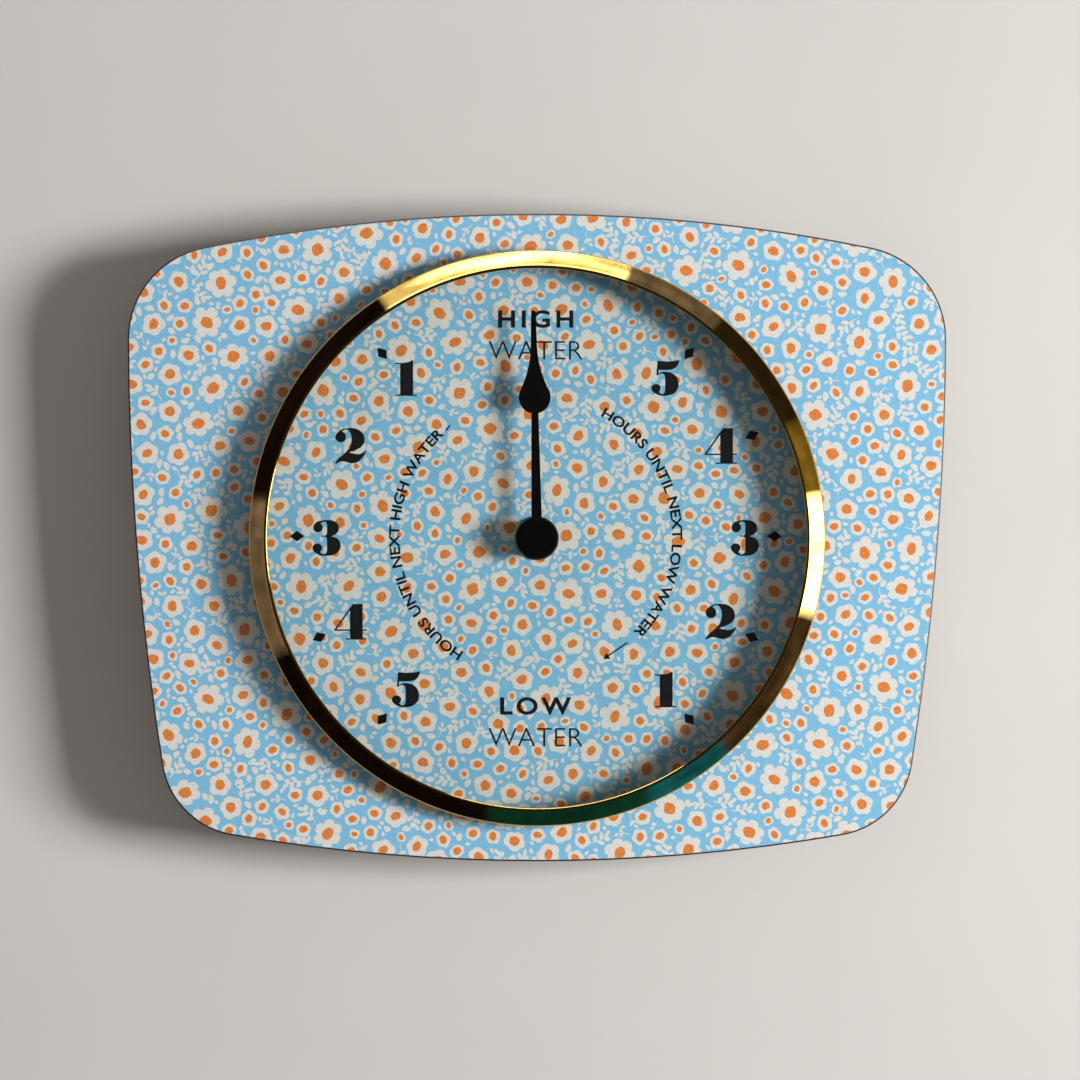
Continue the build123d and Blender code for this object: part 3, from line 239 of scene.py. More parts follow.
class TideClockSettings(bpy.types.PropertyGroup):
    """All that the user may change."""

    flowers: PointerProperty(type=FlowerSettings)
    dial: PointerProperty(type=DialSettings)
    bezel: PointerProperty(type=BezelSettings)
    glass: PointerProperty(type=GlassSettings)
    stage: PointerProperty(type=StageSettings)


# Materials

def plug(node, inputs):
    """Sets a node's inputs, each to a value or to the socket that feeds it."""
    for key, value in inputs.items():
        if isinstance(value, bpy.types.NodeSocket):
            node.id_data.links.new(value, node.inputs[key])
        else:
            node.inputs[key].default_value = value


def add(tree, kind, inputs, **settings):
    """Adds a node with its own settings and its inputs."""
    node = tree.nodes.new("ShaderNode" + kind)
    for key, value in settings.items():
        setattr(node, key, value)
    plug(node, inputs)
    return node


def per_mm(size):
    """The scale of a pattern whose features are about this many millimetres across."""
    return 1 / (size * MM)


def new_finish(name):
    """An empty material with its shader."""
    material = bpy.data.materials.new(name)
    material.use_nodes = True
    material.node_tree.nodes.clear()
    shader = add(material.node_tree, "BsdfPrincipled", {})
    add(material.node_tree, "OutputMaterial", {"Surface": shader.outputs["BSDF"]})
    return material, material.node_tree, shader


def mottle(tree, shader, tones, patch, grain, roughness, relief, stretch=(1, 1, 1)):
    """Uneven tone, sheen and relief, from patches and a finer grain that are sized in millimetres."""
    place = add(tree, "TexCoord", {}).outputs["Object"]
    along = add(tree, "Mapping", {"Vector": place, "Scale": stretch}).outputs["Vector"]
    patches = add(tree, "TexNoise", {"Vector": along, "Scale": per_mm(patch), "Detail": 3})
    share = add(tree, "MapRange", {"Value": patches.outputs[0], "From Min": 0.35, "From Max": 0.65})
    tone = add(tree, "Mix", {0: share.outputs[0], 6: tones[0], 7: tones[1]}, data_type="RGBA")
    grains = add(tree, "TexNoise", {"Vector": along, "Scale": per_mm(grain), "Detail": 2})
    low, high = roughness
    sheen = {"Value": grains.outputs[0], "From Min": 0.3, "From Max": 0.7, "To Min": low, "To Max": high}
    bump = add(tree, "Bump", {"Height": grains.outputs[0], "Distance": relief * MM})
    plug(shader, {"Base Color": tone.outputs[2], "Normal": bump.outputs[0]})
    plug(shader, {"Roughness": add(tree, "MapRange", sheen).outputs[0]})
    return place, tone.outputs[2]


def toned(colour, share):
    """A colour made darker or lighter by a share."""
    return [min(1.0, channel * share) for channel in colour[:3]] + [1.0]


def either_side(colour, spread):
    """A darker and a lighter tone of a colour, each a small spread away from it."""
    return toned(colour, 1 - spread), toned(colour, 1 + spread)


def plain_finish(name, code, spread, patch, grain, roughness, relief, stretch=(1, 1, 1), **sockets):
    """A finish of one substance, whose tone strays from its colour by a small spread."""
    material, tree, shader = new_finish(name)
    plug(shader, {key.replace("_", " "): value for key, value in sockets.items()})
    tones = either_side(linear(code), spread)
    mottle(tree, shader, tones, patch, grain, roughness, relief, stretch)
    return material


def ink_finish(name, colour, spread):
    """Ink under the clear melamine of a laminate: it lies a little unevenly, under a satin pressed grain."""
    material, tree, shader = new_finish(name)
    mottle(tree, shader, either_side(colour, spread), *PRESSED_FACE)
    plug(shader, {"IOR": 1.5})
    return material


def printed_laminate(ground):
    """High-pressure laminate: a printed sheet whose trimmed edge shows the dark resin paper inside."""
    material, tree, shader = new_finish("printed_laminate")
    place, tone = mottle(tree, shader, either_side(ground, 0.06), *PRESSED_FACE)
    depth = add(tree, "SeparateXYZ", {"Vector": place}).outputs["Y"]
    edge = add(tree, "Math", {0: depth, 1: FACE + 0.05 * MM}, operation="GREATER_THAN").outputs[0]
    core = add(tree, "Mix", {0: edge, 6: tone, 7: linear("38271C")}, data_type="RGBA")
    plug(shader, {"Base Color": core.outputs[2]})
    return material


def polished_brass(colour):
    """Lacquered brass, turned and buffed: a clear mirror with faint lathe rings and warmer patches."""
    material, tree, shader = new_finish("polished_brass")
    plug(shader, {"Metallic": 1.0})
    tones = toned(colour, 0.9), toned(colour, 1.05)
    place, _ = mottle(tree, shader, tones, 14, 0.8, (0.02, 0.05), 0.0006)
    flat = add(tree, "Mapping", {"Vector": place, "Location": (0, 0, -AXIS_HEIGHT), "Scale": (1, 0, 1)})
    radius = add(tree, "VectorMath", {0: flat.outputs[0]}, operation="LENGTH").outputs["Value"]
    # lathe rings are about 0.05 mm apart, drawn at 0.4 mm so that they show
    rings = add(tree, "TexNoise", {"W": radius, "Scale": per_mm(0.4), "Detail": 1}, noise_dimensions="1D")
    bump = add(tree, "Bump", {"Height": rings.outputs[0], "Distance": 0.0004 * MM})
    plug(shader, {"Normal": bump.outputs[0]})
    return material


def clear_glass():
    """Float glass, bent and fire-polished: clear, a little dimmer where it was wiped, and faintly wavy."""
    material, tree, shader = new_finish("clear_glass")
    place = add(tree, "TexCoord", {}).outputs["Object"]
    wiping = {"Vector": place, "Scale": per_mm(30), "Detail": 4, "Distortion": 1.5}
    wipes = add(tree, "TexNoise", wiping).outputs[0]
    share = add(tree, "MapRange", {"Value": wipes, "From Min": 0.45, "From Max": 0.75}).outputs[0]
    tints = {0: share, 6: linear("FAFBFA"), 7: linear("F0F3F2")}
    tint = add(tree, "Mix", tints, data_type="RGBA").outputs[2]
    waves = add(tree, "Bump", {"Height": wipes, "Distance": 0.002 * MM}).outputs[0]
    plug(shader, {"Base Color": tint, "Normal": waves, "Roughness": 0.0})
    plug(shader, {"Transmission Weight": 1.0, "IOR": 1.5})
    rays = add(tree, "LightPath", {}).outputs
    clear = add(tree, "BsdfTransparent", {"Color": linear("FCFDFC")})
    bent = add(tree, "MixShader", {0: rays["Is Diffuse Ray"], 1: shader.outputs[0], 2: clear.outputs[0]})
    mixed = add(tree, "MixShader", {0: rays["Is Shadow Ray"], 1: bent.outputs[0], 2: clear.outputs[0]})
    plug(tree.nodes["Material Output"], {"Surface": mixed.outputs[0]})
    return material


def battery_finish():
    """A dry cell: a plain shrunk sleeve with a pale ring, and bare nickel-plated ends."""
    material, tree, shader = new_finish("battery_sleeve")
    sleeve = linear("6E7781"), linear("7D8791")
    place, tone = mottle(tree, shader, sleeve, 6, 0.8, (0.28, 0.36), 0.003)
    along = add(tree, "SeparateXYZ", {"Vector": place}).outputs["X"]
    middle = (BATTERY_LOW.x + BATTERY_HIGH.x) / 2
    out = add(tree, "Math", {0: along, 1: middle}, operation="SUBTRACT").outputs[0]
    out = add(tree, "Math", {0: out}, operation="ABSOLUTE").outputs[0]
    half = (BATTERY_HIGH.x - BATTERY_LOW.x) / 2
    ring = add(tree, "Math", {0: out, 1: half - 9 * MM}, operation="GREATER_THAN").outputs[0]
    banded = add(tree, "Mix", {0: ring, 6: tone, 7: linear("C9CDD0")}, data_type="RGBA")
    end = add(tree, "Math", {0: out, 1: half - 1.9 * MM}, operation="GREATER_THAN").outputs[0]
    tipped = add(tree, "Mix", {0: end, 6: banded.outputs[2], 7: linear("B9B9B6")}, data_type="RGBA")
    plug(shader, {"Base Color": tipped.outputs[2], "Metallic": end})
    return material


def copper_winding():
    """Enamelled copper wire in close turns: fine ribs across the coil with a warm varnished shine."""
    material, tree, shader = new_finish("copper_winding")
    plug(shader, {"Metallic": 1.0})
    coppers = linear("9C5427"), linear("C0713F")
    place, _ = mottle(tree, shader, coppers, 3, 0.5, (0.25, 0.38), 0.002)
    # the wire is about 0.05 mm thick, drawn at 0.3 mm so that its turns show
    turns = add(tree, "TexWave", {"Vector": place, "Scale": per_mm(0.3) / 20}, bands_direction="X")
    bump = add(tree, "Bump", {"Height": turns.outputs[1], "Distance": 0.05 * MM})
    plug(shader, {"Normal": bump.outputs[0]})
    return material


# Shapes

def as_mesh(name, shape):
    """A finished shape as a mesh."""
    mesh = bpy.data.meshes.new(name)
    shape.to_mesh(mesh)
    shape.free()
    return mesh


def stand(name, shape, material):
    """Puts a shape in the scene, in its finish."""
    mesh = as_mesh(name, shape)
    mesh.materials.append(material)
    thing = bpy.data.objects.new(name, mesh)
    bpy.context.scene.collection.objects.link(thing)
    return thing


def keep_piece(name, shape, material, slot, *nodes):
    """Makes a finished piece of a shape, fixed to the case, in place of the solids that it stands for."""
    piece = stand(name, shape, material)
    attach(piece, "clock_case")
    if nodes:
        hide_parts(*nodes)
    return piece


def paint(material, *nodes):
    """Gives solid parts that keep their shape a better finish."""
    for node in nodes:
        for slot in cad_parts[node].material_slots:
            slot.material = material


def keep_print(name, sheet, material):
    """Makes a piece of a print, mapped as it lies on the board, so that its shapes share one picture."""
    layer = sheet.loops.layers.uv.new("OFBake")
    span = BOARD_HIGH.x - BOARD_LOW.x
    for face in sheet.faces:
        for corner in face.loops:
            place = corner.vert.co - BOARD_LOW
            corner[layer].uv = (place.x / span, place.z / span)
    keep_piece(name, sheet, material, "printed_laminate")


def thicken(shape, height):
    """Gives a flat outline the height of its ink."""
    grown = bmesh.ops.extrude_face_region(shape, geom=shape.faces[:])
    lifted = [part for part in grown["geom"] if isinstance(part, bmesh.types.BMVert)]
    bmesh.ops.translate(shape, verts=lifted, vec=(0, 0, height))
    bmesh.ops.recalc_face_normals(shape, faces=shape.faces[:])


def as_stamp(shape, height):
    """A motif as a mesh that can be copied to each of its places."""
    thicken(shape, height)
    return as_mesh("stamp", shape)


def press(sheet, stamp, place):
    """Adds a copy of a stamp to a sheet, at its place."""
    copy = stamp.copy()
    copy.transform(place)
    sheet.from_mesh(copy)
    bpy.data.meshes.remove(copy)


def flower_stamp(radius, petals, notch, squash, height, draw):
    """A flat flower: a disc, a little oval, whose rim swells into broad petals of uneven length."""
    shape = bmesh.new()
    bmesh.ops.create_circle(shape, cap_ends=True, radius=radius, segments=petals * PETAL_POINTS)
    reaches = [draw.uniform(0.86, 1.0) for _ in range(petals)]
    for vert in shape.verts:
        turn = (math.atan2(vert.co.y, vert.co.x) % TAU) * petals / TAU
        swell = abs(math.sin(turn * math.pi)) ** 0.55
        vert.co *= notch + (reaches[int(turn) % petals] - notch) * swell
        vert.co.y *= squash
    return as_stamp(shape, height)


def disc_stamp(radius, squash, height, draw):
    """A flower's middle: a small oval with an uneven rim."""
    shape = bmesh.new()
    bmesh.ops.create_circle(shape, cap_ends=True, radius=radius, segments=MIDDLE_POINTS)
    for vert in shape.verts:
        vert.co *= draw.uniform(0.86, 1.06)
        vert.co.y *= squash
    return as_stamp(shape, height)


def leaf_stamp(size, width, height):
    """A leaf: a disc drawn out to a point at both ends and bent a little."""
    shape = bmesh.new()
    bmesh.ops.create_circle(shape, cap_ends=True, radius=1, segments=LEAF_POINTS)
    for vert in shape.verts:
        along = vert.co.x
        vert.co.x = along * size / 2
        vert.co.y = vert.co.y * abs(vert.co.y) ** 0.5 * width / 2 + (along * along - 0.4) * width * 0.15
    return as_stamp(shape, height)


def sprig_stamp(size, leaves, height, draw):
    """A sprig: a bowed stalk with a leaf at each place along it, leaning to its side."""
    shape = bmesh.new()
    bmesh.ops.create_grid(shape, x_segments=6, y_segments=1, size=0.5)
    bmesh.ops.scale(shape, vec=(size, STALK_WIDTH * size, 1), verts=shape.verts)
    for step, (place, side) in enumerate(leaves, 1):
        reach = LEAF_REACH * size
        leaf = bmesh.ops.create_circle(shape, cap_ends=True, radius=reach, segments=LEAF_POINTS)["verts"]
        bmesh.ops.scale(shape, vec=(1, LEAF_OVAL, 1), verts=leaf)
        lean = Matrix.Rotation(side * draw.uniform(0.6, 1.0), 3, "Z")
        bmesh.ops.rotate(shape, verts=leaf, cent=(0, 0, 0), matrix=lean)
        spot = (place * size, side * LEAF_ASIDE * size, LEAF_STEP * step * height)
        bmesh.ops.translate(shape, verts=leaf, vec=spot)
    for vert in shape.verts:
        vert.co.y += STALK_BOW * vert.co.x * vert.co.x / size
    return as_stamp(shape, height)


def dial_front():
    """The printed face of the board, as a tree that finds its point nearest to any place."""
    shape = bmesh.new()
    shape.from_mesh(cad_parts["dial_laminate"].data)
    others = [face for face in shape.faces if face.normal.y > -0.99]
    bmesh.ops.delete(shape, geom=others, context="FACES")
    tree = BVHTree.FromBMesh(shape)
    shape.free()
    return tree


def scatter(kinds, front, gap, draw):
    """Throws motifs at the board, the big ones first, and keeps each that clears those already there."""
    cell = 2 * max(reach for kind in kinds for _, reach in kind["discs"]) + gap
    taken = {}
    for kind in kinds:
        for _ in range(THROWS):
            if len(kind["places"]) == kind["most"]:
                break
            x = draw.uniform(BOARD_LOW.x, BOARD_HIGH.x)
            z = draw.uniform(BOARD_LOW.z, BOARD_HIGH.z)
            turn = draw.uniform(0, TAU)
            off_board = front.find_nearest((x, FACE, z))[3]
            if off_board > 0.5 * kind["discs"][0][1]:
                continue
            aside, up = math.cos(turn), math.sin(turn)
            discs = [(x + out * aside, z + out * up, reach) for out, reach in kind["discs"]]
            home = int(x // cell), int(z // cell)
            near = [
                other
                for column in (-1, 0, 1)
                for row in (-1, 0, 1)
                for other in taken.get((home[0] + column, home[1] + row), ())
            ]
            if all(math.hypot(a[0] - b[0], a[1] - b[1]) > a[2] + b[2] + gap for a in discs for b in near):
                taken.setdefault(home, []).extend(discs)
                spot = Matrix.Translation((x, FACE, z)) @ UPRIGHT
                kind["places"].append(spot @ Matrix.Rotation(turn, 4, "Z"))


def trim_to_board(sheet, front):
    """Cuts a print off where the board ends, by drawing what lies outside back to the edge."""
    for vert in sheet.verts:
        inside = front.find_nearest(vert.co)[0]
        vert.co.x, vert.co.z = inside.x, inside.z
    bmesh.ops.dissolve_degenerate(sheet, dist=0.002 * MM, edges=sheet.edges[:])


def mesh_of(curve):
    """A curve or a line of text as a mesh."""
    drawn = bpy.data.objects.new(curve.name, curve)
    mesh = bpy.data.meshes.new_from_object(drawn)
    bpy.data.objects.remove(drawn)
    bpy.data.curves.remove(curve)
    return mesh


def mesh_box(mesh):
    """The lowest and highest corner of a flat mesh."""
    low = Vector((min(vert.co.x for vert in mesh.vertices), min(vert.co.y for vert in mesh.vertices), 0))
    high = Vector((max(vert.co.x for vert in mesh.vertices), max(vert.co.y for vert in mesh.vertices), 0))
    return low, high


def numeral_stamp(contours, height, ink):
    """A fat numeral, cut to its outline and centred."""
    curve = bpy.data.curves.new("numeral", "CURVE")
    curve.dimensions = "2D"
    curve.fill_mode = "BOTH"
    curve.extrude = ink / 2
    curve.resolution_u = 6
    for contour in contours:
        words = contour.split(",")
        spline = curve.splines.new("BEZIER")
        spline.bezier_points.add(len(words) - 1)
        spline.use_cyclic_u = True
        for point, word in zip(spline.bezier_points, words):
            across, up = word.strip().lstrip("~").split()
            point.co = (float(across) * height / 100, float(up) * height / 100, 0)
        for point, word in zip(spline.bezier_points, words):
            point.handle_left_type = point.handle_right_type = "AUTO" if "~" in word else "VECTOR"
    mesh = mesh_of(curve)
    low, high = mesh_box(mesh)
    mesh.transform(Matrix.Translation(Vector((0, 0, ink / 2)) - (low + high) / 2))
    return mesh


def set_text(words, size, spacing, weight, ink):
    """A line of capitals as a mesh, with its box; the weight swells or thins its strokes."""
    curve = bpy.data.curves.new("words", "FONT")
    curve.body = words
    curve.size = size
    curve.offset = weight
    curve.extrude = ink / 2
    curve.resolution_u = 4
    curve.space_character = spacing
    mesh = mesh_of(curve)
    return mesh, *mesh_box(mesh)


def line_of_text(words, height, width, weight, ink):
    """A line of capitals of a height, widened and spaced out towards a width, centred on its foot."""
    _, low, high = set_text(words, height, 1.0, weight, ink)
    size = height * height / (high.y - low.y)
    sizes = [set_text(words, size, spacing, weight, ink)[1:] for spacing in (1.0, 2.0)]
    least, most = (high.x - low.x for low, high in sizes)
    widening = min(max(width / least, 1.0), WIDEST_LETTERS)
    spacing = min(max(1 + (width / widening - least) / (most - least), 1.0), WIDEST_SPACING)
    mesh, low, high = set_text(words, size, spacing, weight, ink)
    centred = Matrix.Translation((-(low.x + high.x) / 2, -low.y, ink / 2))
    mesh.transform(Matrix.Diagonal((widening, 1, 1, 1)) @ centred)
    return mesh


def print_middle(look):
    """Where the middle of the print lies on the board, a little off the hand's axis."""
    return ON_DIAL @ Matrix.Translation((look.print_right, look.print_up, 0))


def bend(mesh, radius, middle):
    """Bends a straight line of print round the dial, its middle at an angle and its tops outwards."""
    for vert in mesh.vertices:
        turn = middle - vert.co.x / radius
        reach = radius + vert.co.y
        vert.co.x, vert.co.y = reach * math.cos(turn), reach * math.sin(turn)
    return mesh


def rule_mesh(size, width, ink, head=0.0):
    """A straight rule of print, with an arrow head at its right end if it has one."""
    shape = bmesh.new()
    bmesh.ops.create_grid(shape, x_segments=16, y_segments=1, size=0.5)
    bmesh.ops.scale(shape, vec=(size, width, 1), verts=shape.verts)
    if head:
        tip = bmesh.ops.create_circle(shape, cap_ends=True, radius=head, segments=3)["verts"]
        bmesh.ops.rotate(shape, verts=tip, cent=(0, 0, 0), matrix=Matrix.Rotation(-math.pi / 2, 3, "Z"))
        bmesh.ops.translate(shape, verts=tip, vec=(size / 2 + head / 2, 0, 0))
    return as_stamp(shape, ink)


def spun(points, rounds, steps):
    """Turns a section, drawn in radius and height above the dial, about the hand's axis."""
    shape = bmesh.new()
    shape.faces.new([shape.verts.new((radius, 0, height)) for radius, height in points])
    for place, size, segments in rounds:
        nearest = min(shape.verts, key=lambda vert: (vert.co - Vector((place[0], 0, place[1]))).length)
        rounding = {"offset": size, "segments": segments, "profile": 0.5, "material": -1}
        bmesh.ops.bevel(shape, geom=[nearest], affect="VERTICES", **rounding)
    bmesh.ops.delete(shape, geom=shape.faces[:], context="FACES_ONLY")
    outline = shape.verts[:] + shape.edges[:]
    about = {"cent": (0, 0, 0), "axis": (0, 0, 1), "dvec": (0, 0, 0), "angle": TAU}
    bmesh.ops.spin(shape, geom=outline, steps=steps, use_merge=True, **about)
    bmesh.ops.remove_doubles(shape, verts=shape.verts[:], dist=0.001 * MM)
    bmesh.ops.recalc_face_normals(shape, faces=shape.faces[:])
    bmesh.ops.transform(shape, matrix=ON_DIAL, verts=shape.verts[:])
    return shape


def smooth(piece, sharpest):
    """Shades a piece as round, apart from edges sharper than an angle."""
    piece.data.shade_smooth()
    piece.data.set_sharp_from_angle(angle=math.radians(sharpest))


# Operators

class TIDE_OT_dress_board(bpy.types.Operator):
    """Finish the layers of the board"""

    bl_idname = "tide_clock.dress_board"
    bl_label = "Dress board"

    def execute(self, context):
        paint(printed_laminate(context.scene.tide_clock.flowers.ground[:]), "dial_laminate")
        # medium-density fibreboard, sawn and sanded: tan with short darker fibres
        paint(plain_finish("fibreboard", "A98A63", 0.22, 1.2, 0.4, (0.75, 0.9), 0.05), "core_board")
        # balancing laminate of resin paper: brown, faintly cloudy, with a dull pressed grain
        paint(plain_finish("backing_sheet", "4A382B", 0.12, 9, 0.7, (0.5, 0.62), 0.01), "back_laminate")
        return {"FINISHED"}


class TIDE_OT_print_flowers(bpy.types.Operator):
    """Print flowers and leaves on the face of the board"""

    bl_idname = "tide_clock.print_flowers"
    bl_label = "Print flowers"

    # Flowers: petals, where the notches between them end, reach of the middle, and how many there may be
    BLOOMS = {
        "rose": (6, 0.68, 0.4, 110),
        "blossom": (5, 0.68, 0.45, 230),
        "bud": (5, 0.72, 0.51, 400),
        "floret": (4, 0.8, 0.55, 520),
    }
    # Sprigs: share of the stalk's length, each leaf's place along it and its side, and how many there may be
    SPRIGS = (
        (1.0, ((-0.2, 1), (-0.05, -1), (0.12, 1), (0.26, -1), (0.4, 0)), 220),
        (1.0, ((-0.05, 1), (0.05, -1), (0.2, 1), (0.38, 0)), 220),
        (0.7, ((0.05, 1), (0.05, -1), (0.36, 0)), 800),
    )
    # Single leaves, and how many there may be
    LEAVES = {"leaf": 2200, "leaflet": 2600}
    # How oval the cuts of a flower are, and how long those of a leaf
    OVALS = (0.82, 0.9, 0.96, 1.0)
    LENGTHS = (0.8, 0.9, 1.0)
    LEAF_WIDTH = 0.56
    # How much flatter a flower's middle is than its petals, and how much thicker its ink
    MIDDLE_FLATTER = 0.1
    MIDDLE_INK = 1.6
    # Ground that a motif takes up, as discs: how far out each lies and its reach, in shares of its size
    BLOOM_ROOM = ((0, 0.94),)
    SPRIG_ROOM = ((0, 0.17), (-0.32, 0.17), (0.32, 0.17))
    LEAF_ROOM = ((0, 0.2), (1 / 3, 0.1), (-1 / 3, 0.1))

    def execute(self, context):
        look = context.scene.tide_clock.flowers
        draw = random.Random(look.seed)
        front = dial_front()
        ink = look.ink
        blooms, greens = [], []
        for name, (petals, notch, middle, most) in self.BLOOMS.items():
            radius = getattr(look, name)
            stamps = [flower_stamp(radius, petals, notch, oval, ink, draw) for oval in self.OVALS]
            bloom = self.motif(radius, self.BLOOM_ROOM, most, stamps)
            thick = self.MIDDLE_INK * ink
            flatter = [oval - self.MIDDLE_FLATTER for oval in self.OVALS]
            bloom["hearts"] = [disc_stamp(middle * radius, flat, thick, draw) for flat in flatter]
            blooms.append(bloom)
        for share, leaves, most in self.SPRIGS:
            size = share * look.stalk
            stamps = [sprig_stamp(size, leaves, ink, draw) for _ in self.OVALS]
            greens.append(self.motif(size, self.SPRIG_ROOM, most, stamps))
        for name, most in self.LEAVES.items():
            size = getattr(look, name)
            stamps = [leaf_stamp(size * share, self.LEAF_WIDTH * size, ink) for share in self.LENGTHS]
            greens.append(self.motif(size, self.LEAF_ROOM, most, stamps))
        scatter(blooms[:3] + greens[:2] + blooms[3:] + greens[2:], front, look.gap, draw)
        flowers, sprigs, leaflets, hearts = (bmesh.new() for _ in range(4))
        for kind, sheet in zip(blooms + greens, [flowers] * 4 + [sprigs] * 3 + [leaflets] * 2):
            for place in kind["places"]:
                # each motif lies a little higher or lower, so that no two share a face where they touch
                lift = Matrix.Translation((0, 0, draw.uniform(0, 0.5) * ink))
                press(sheet, draw.choice(kind["stamps"]), place @ lift)
                if "hearts" in kind:
                    press(hearts, draw.choice(kind["hearts"]), place @ lift)
        cream = ink_finish("petal_ink", look.petal[:], 0.06)
        orange = ink_finish("centre_ink", look.centre[:], 0.14)
        for name, sheet, finish in (
            ("printed_flowers", flowers, cream),
            ("printed_sprigs", sprigs, cream),
            ("printed_leaflets", leaflets, cream),
            ("printed_centres", hearts, orange),
        ):
            trim_to_board(sheet, front)
            keep_print(name, sheet, finish)
        return {"FINISHED"}

    def motif(self, size, room, most, stamps):
        """A kind of motif, before any of it is placed."""
        discs = [(out * size, reach * size) for out, reach in room]
        return {"discs": discs, "most": most, "stamps": stamps, "places": []}


class TIDE_OT_print_hours(bpy.types.Operator):
    """Print the hour numerals and their diamonds"""

    bl_idname = "tide_clock.print_hours"
    bl_label = "Print hours"

    def execute(self, context):
        look = context.scene.tide_clock.dial
        charcoal = ink_finish("numeral_ink", look.charcoal[:], 0.2)
        black = ink_finish("diamond_ink", look.black[:], 0.2)
        numerals, diamonds = bmesh.new(), bmesh.new()
        stamps = {hour: numeral_stamp(NUMERALS[hour], look.numeral, look.ink) for hour in NUMERALS}
        diamond = bmesh.new()
        bmesh.ops.create_circle(diamond, cap_ends=True, radius=0.5, segments=4)
        bmesh.ops.scale(diamond, vec=(look.diamond_length, look.diamond_width, 1), verts=diamond.verts)
        diamond = as_stamp(diamond, look.ink)
        middle = print_middle(look)
        outwards = Matrix.Translation((look.diamond_circle, 0, 0))
        for side, hours in ((1, RIGHT_HOURS), (-1, LEFT_HOURS)):
            for row, (hour, (aside, up)) in enumerate(zip(hours, HOUR_ROWS)):
                at = Matrix.Translation((side * aside * MM, up * MM, 0))
                press(numerals, stamps[hour], middle @ at)
                if side == -1 and row == BARE_ROW:
                    continue
                rise = (len(HOUR_ROWS) // 2 - row) * look.hour_step
                turn = Matrix.Rotation(rise if side == 1 else math.pi - rise, 4, "Z")
                press(diamonds, diamond, middle @ turn @ outwards)
        keep_print("printed_numerals", numerals, charcoal)
        keep_print("printed_diamonds", diamonds, black)
        return {"FINISHED"}


class TIDE_OT_print_words(bpy.types.Operator):
    """Print the words and the curved legends"""

    bl_idname = "tide_clock.print_words"
    bl_label = "Print words"

    # The arrow after the right legend and the dash after the left one: ends in millimetres, and heads
    RULES = (((31.3, -36.3), (24.8, -40.8), 1), ((-30.7, 36.0), (-29.2, 37.9), 0))
    # The curved legends, with the angles at which they start and through which they may run
    LEGENDS = (("HOURS UNTIL NEXT LOW WATER", 61.5, 106), ("HOURS UNTIL NEXT HIGH WATER", 238, 106))
    # How far the strokes swell or thin, as shares of the height of the capitals
    BOLD = 0.035
    LIGHT = -0.02
    STRONG = 0.03

    def execute(self, context):
        look = context.scene.tide_clock.dial
        charcoal = ink_finish("word_ink", look.charcoal[:], 0.2)
        black = ink_finish("legend_ink", look.black[:], 0.2)
        words, legends = bmesh.new(), bmesh.new()
        middle = print_middle(look)
        bold, light = self.BOLD * look.word_height, self.LIGHT * look.word_height
        for first, height in (("HIGH", look.high_word), ("LOW", -look.low_word)):
            for line, weight, lift in ((first, bold, 0.5), ("WATER", light, -0.5)):
                text = line_of_text(line, look.word_height, look.word_width, weight, look.ink)
                foot = height + lift * look.word_pitch - look.word_height / 2
                press(words, text, middle @ Matrix.Translation((0, foot, 0)))
        strong = self.STRONG * look.legend_height
        for line, start, sweep in self.LEGENDS:
            width = math.radians(sweep) * look.legend_circle
            text = line_of_text(line, look.legend_height, width, strong, look.ink)
            press(legends, bend(text, look.legend_circle, math.radians(start - sweep / 2)), middle)
        for (from_right, from_up), (to_right, to_up), head in self.RULES:
            start, end = Vector((from_right, from_up, 0)) * MM, Vector((to_right, to_up, 0)) * MM
            run = end - start
            rule = rule_mesh(run.length, look.rule_width, look.ink, head * look.arrow_head)
            turn = Matrix.Rotation(math.atan2(run.y, run.x), 4, "Z")
            press(legends, rule, middle @ Matrix.Translation((start + end) / 2) @ turn)
        keep_print("printed_words", words, charcoal)
        keep_print("printed_legends", legends, black)
        return {"FINISHED"}


class TIDE_OT_turn_bezel(bpy.types.Operator):
    """Turn the brass bezel and finish what holds it and the glass"""

    bl_idname = "tide_clock.turn_bezel"
    bl_label = "Turn bezel"

    # Share of the cone at either end that bends into the rounds, so that the rest stays a true cone
    CONE_EDGE = 0.08

    def execute(self, context):
        look = context.scene.tide_clock.bezel
        ridge = look.opening + look.ridge
        under = BEZEL_HEIGHT - look.lip
        seat = look.opening + look.seat
        shoulder, crest = Vector((BEZEL_RADIUS, look.wall)), Vector((ridge, BEZEL_HEIGHT))
        section = [
            (seat, 0),
            (BEZEL_RADIUS, 0),
            shoulder,
            shoulder.lerp(crest, self.CONE_EDGE),
            crest.lerp(shoulder, self.CONE_EDGE),
            crest,
            (look.opening, BEZEL_HEIGHT),
            (look.opening, under),
            (seat, under),
        ]
        rounds = [
            (shoulder, look.shoulder, 4),
            (crest, look.round, 6),
            ((look.opening, BEZEL_HEIGHT), look.round, 8),
        ]
        ring = spun(section, rounds, look.steps)
        brass = polished_brass(look.brass[:])
        smooth(keep_piece("turned_bezel", ring, brass, "polished_brass", "bezel_ring"), 35)
        # drawn spring wire: bright steel with fine lines along it
        wire = plain_finish("spring_wire", "A8A8A6", 0.1, 3, 0.3, (0.25, 0.4), 0.003, Metallic=1.0)
        paint(wire, "glass_ring")
        # zinc-plated steel: cool grey with a slightly cloudy shine
        zinc = plain_finish("zinc_steel", "B4B7B8", 0.1, 2.5, 0.3, (0.28, 0.42), 0.004, Metallic=1.0)
        paint(zinc, "bezel_screws", "bezel_washers", "plate_screws", "cover_screws")
        paint(zinc, "hanger_plate", "hanger_rivets")
        return {"FINISHED"}


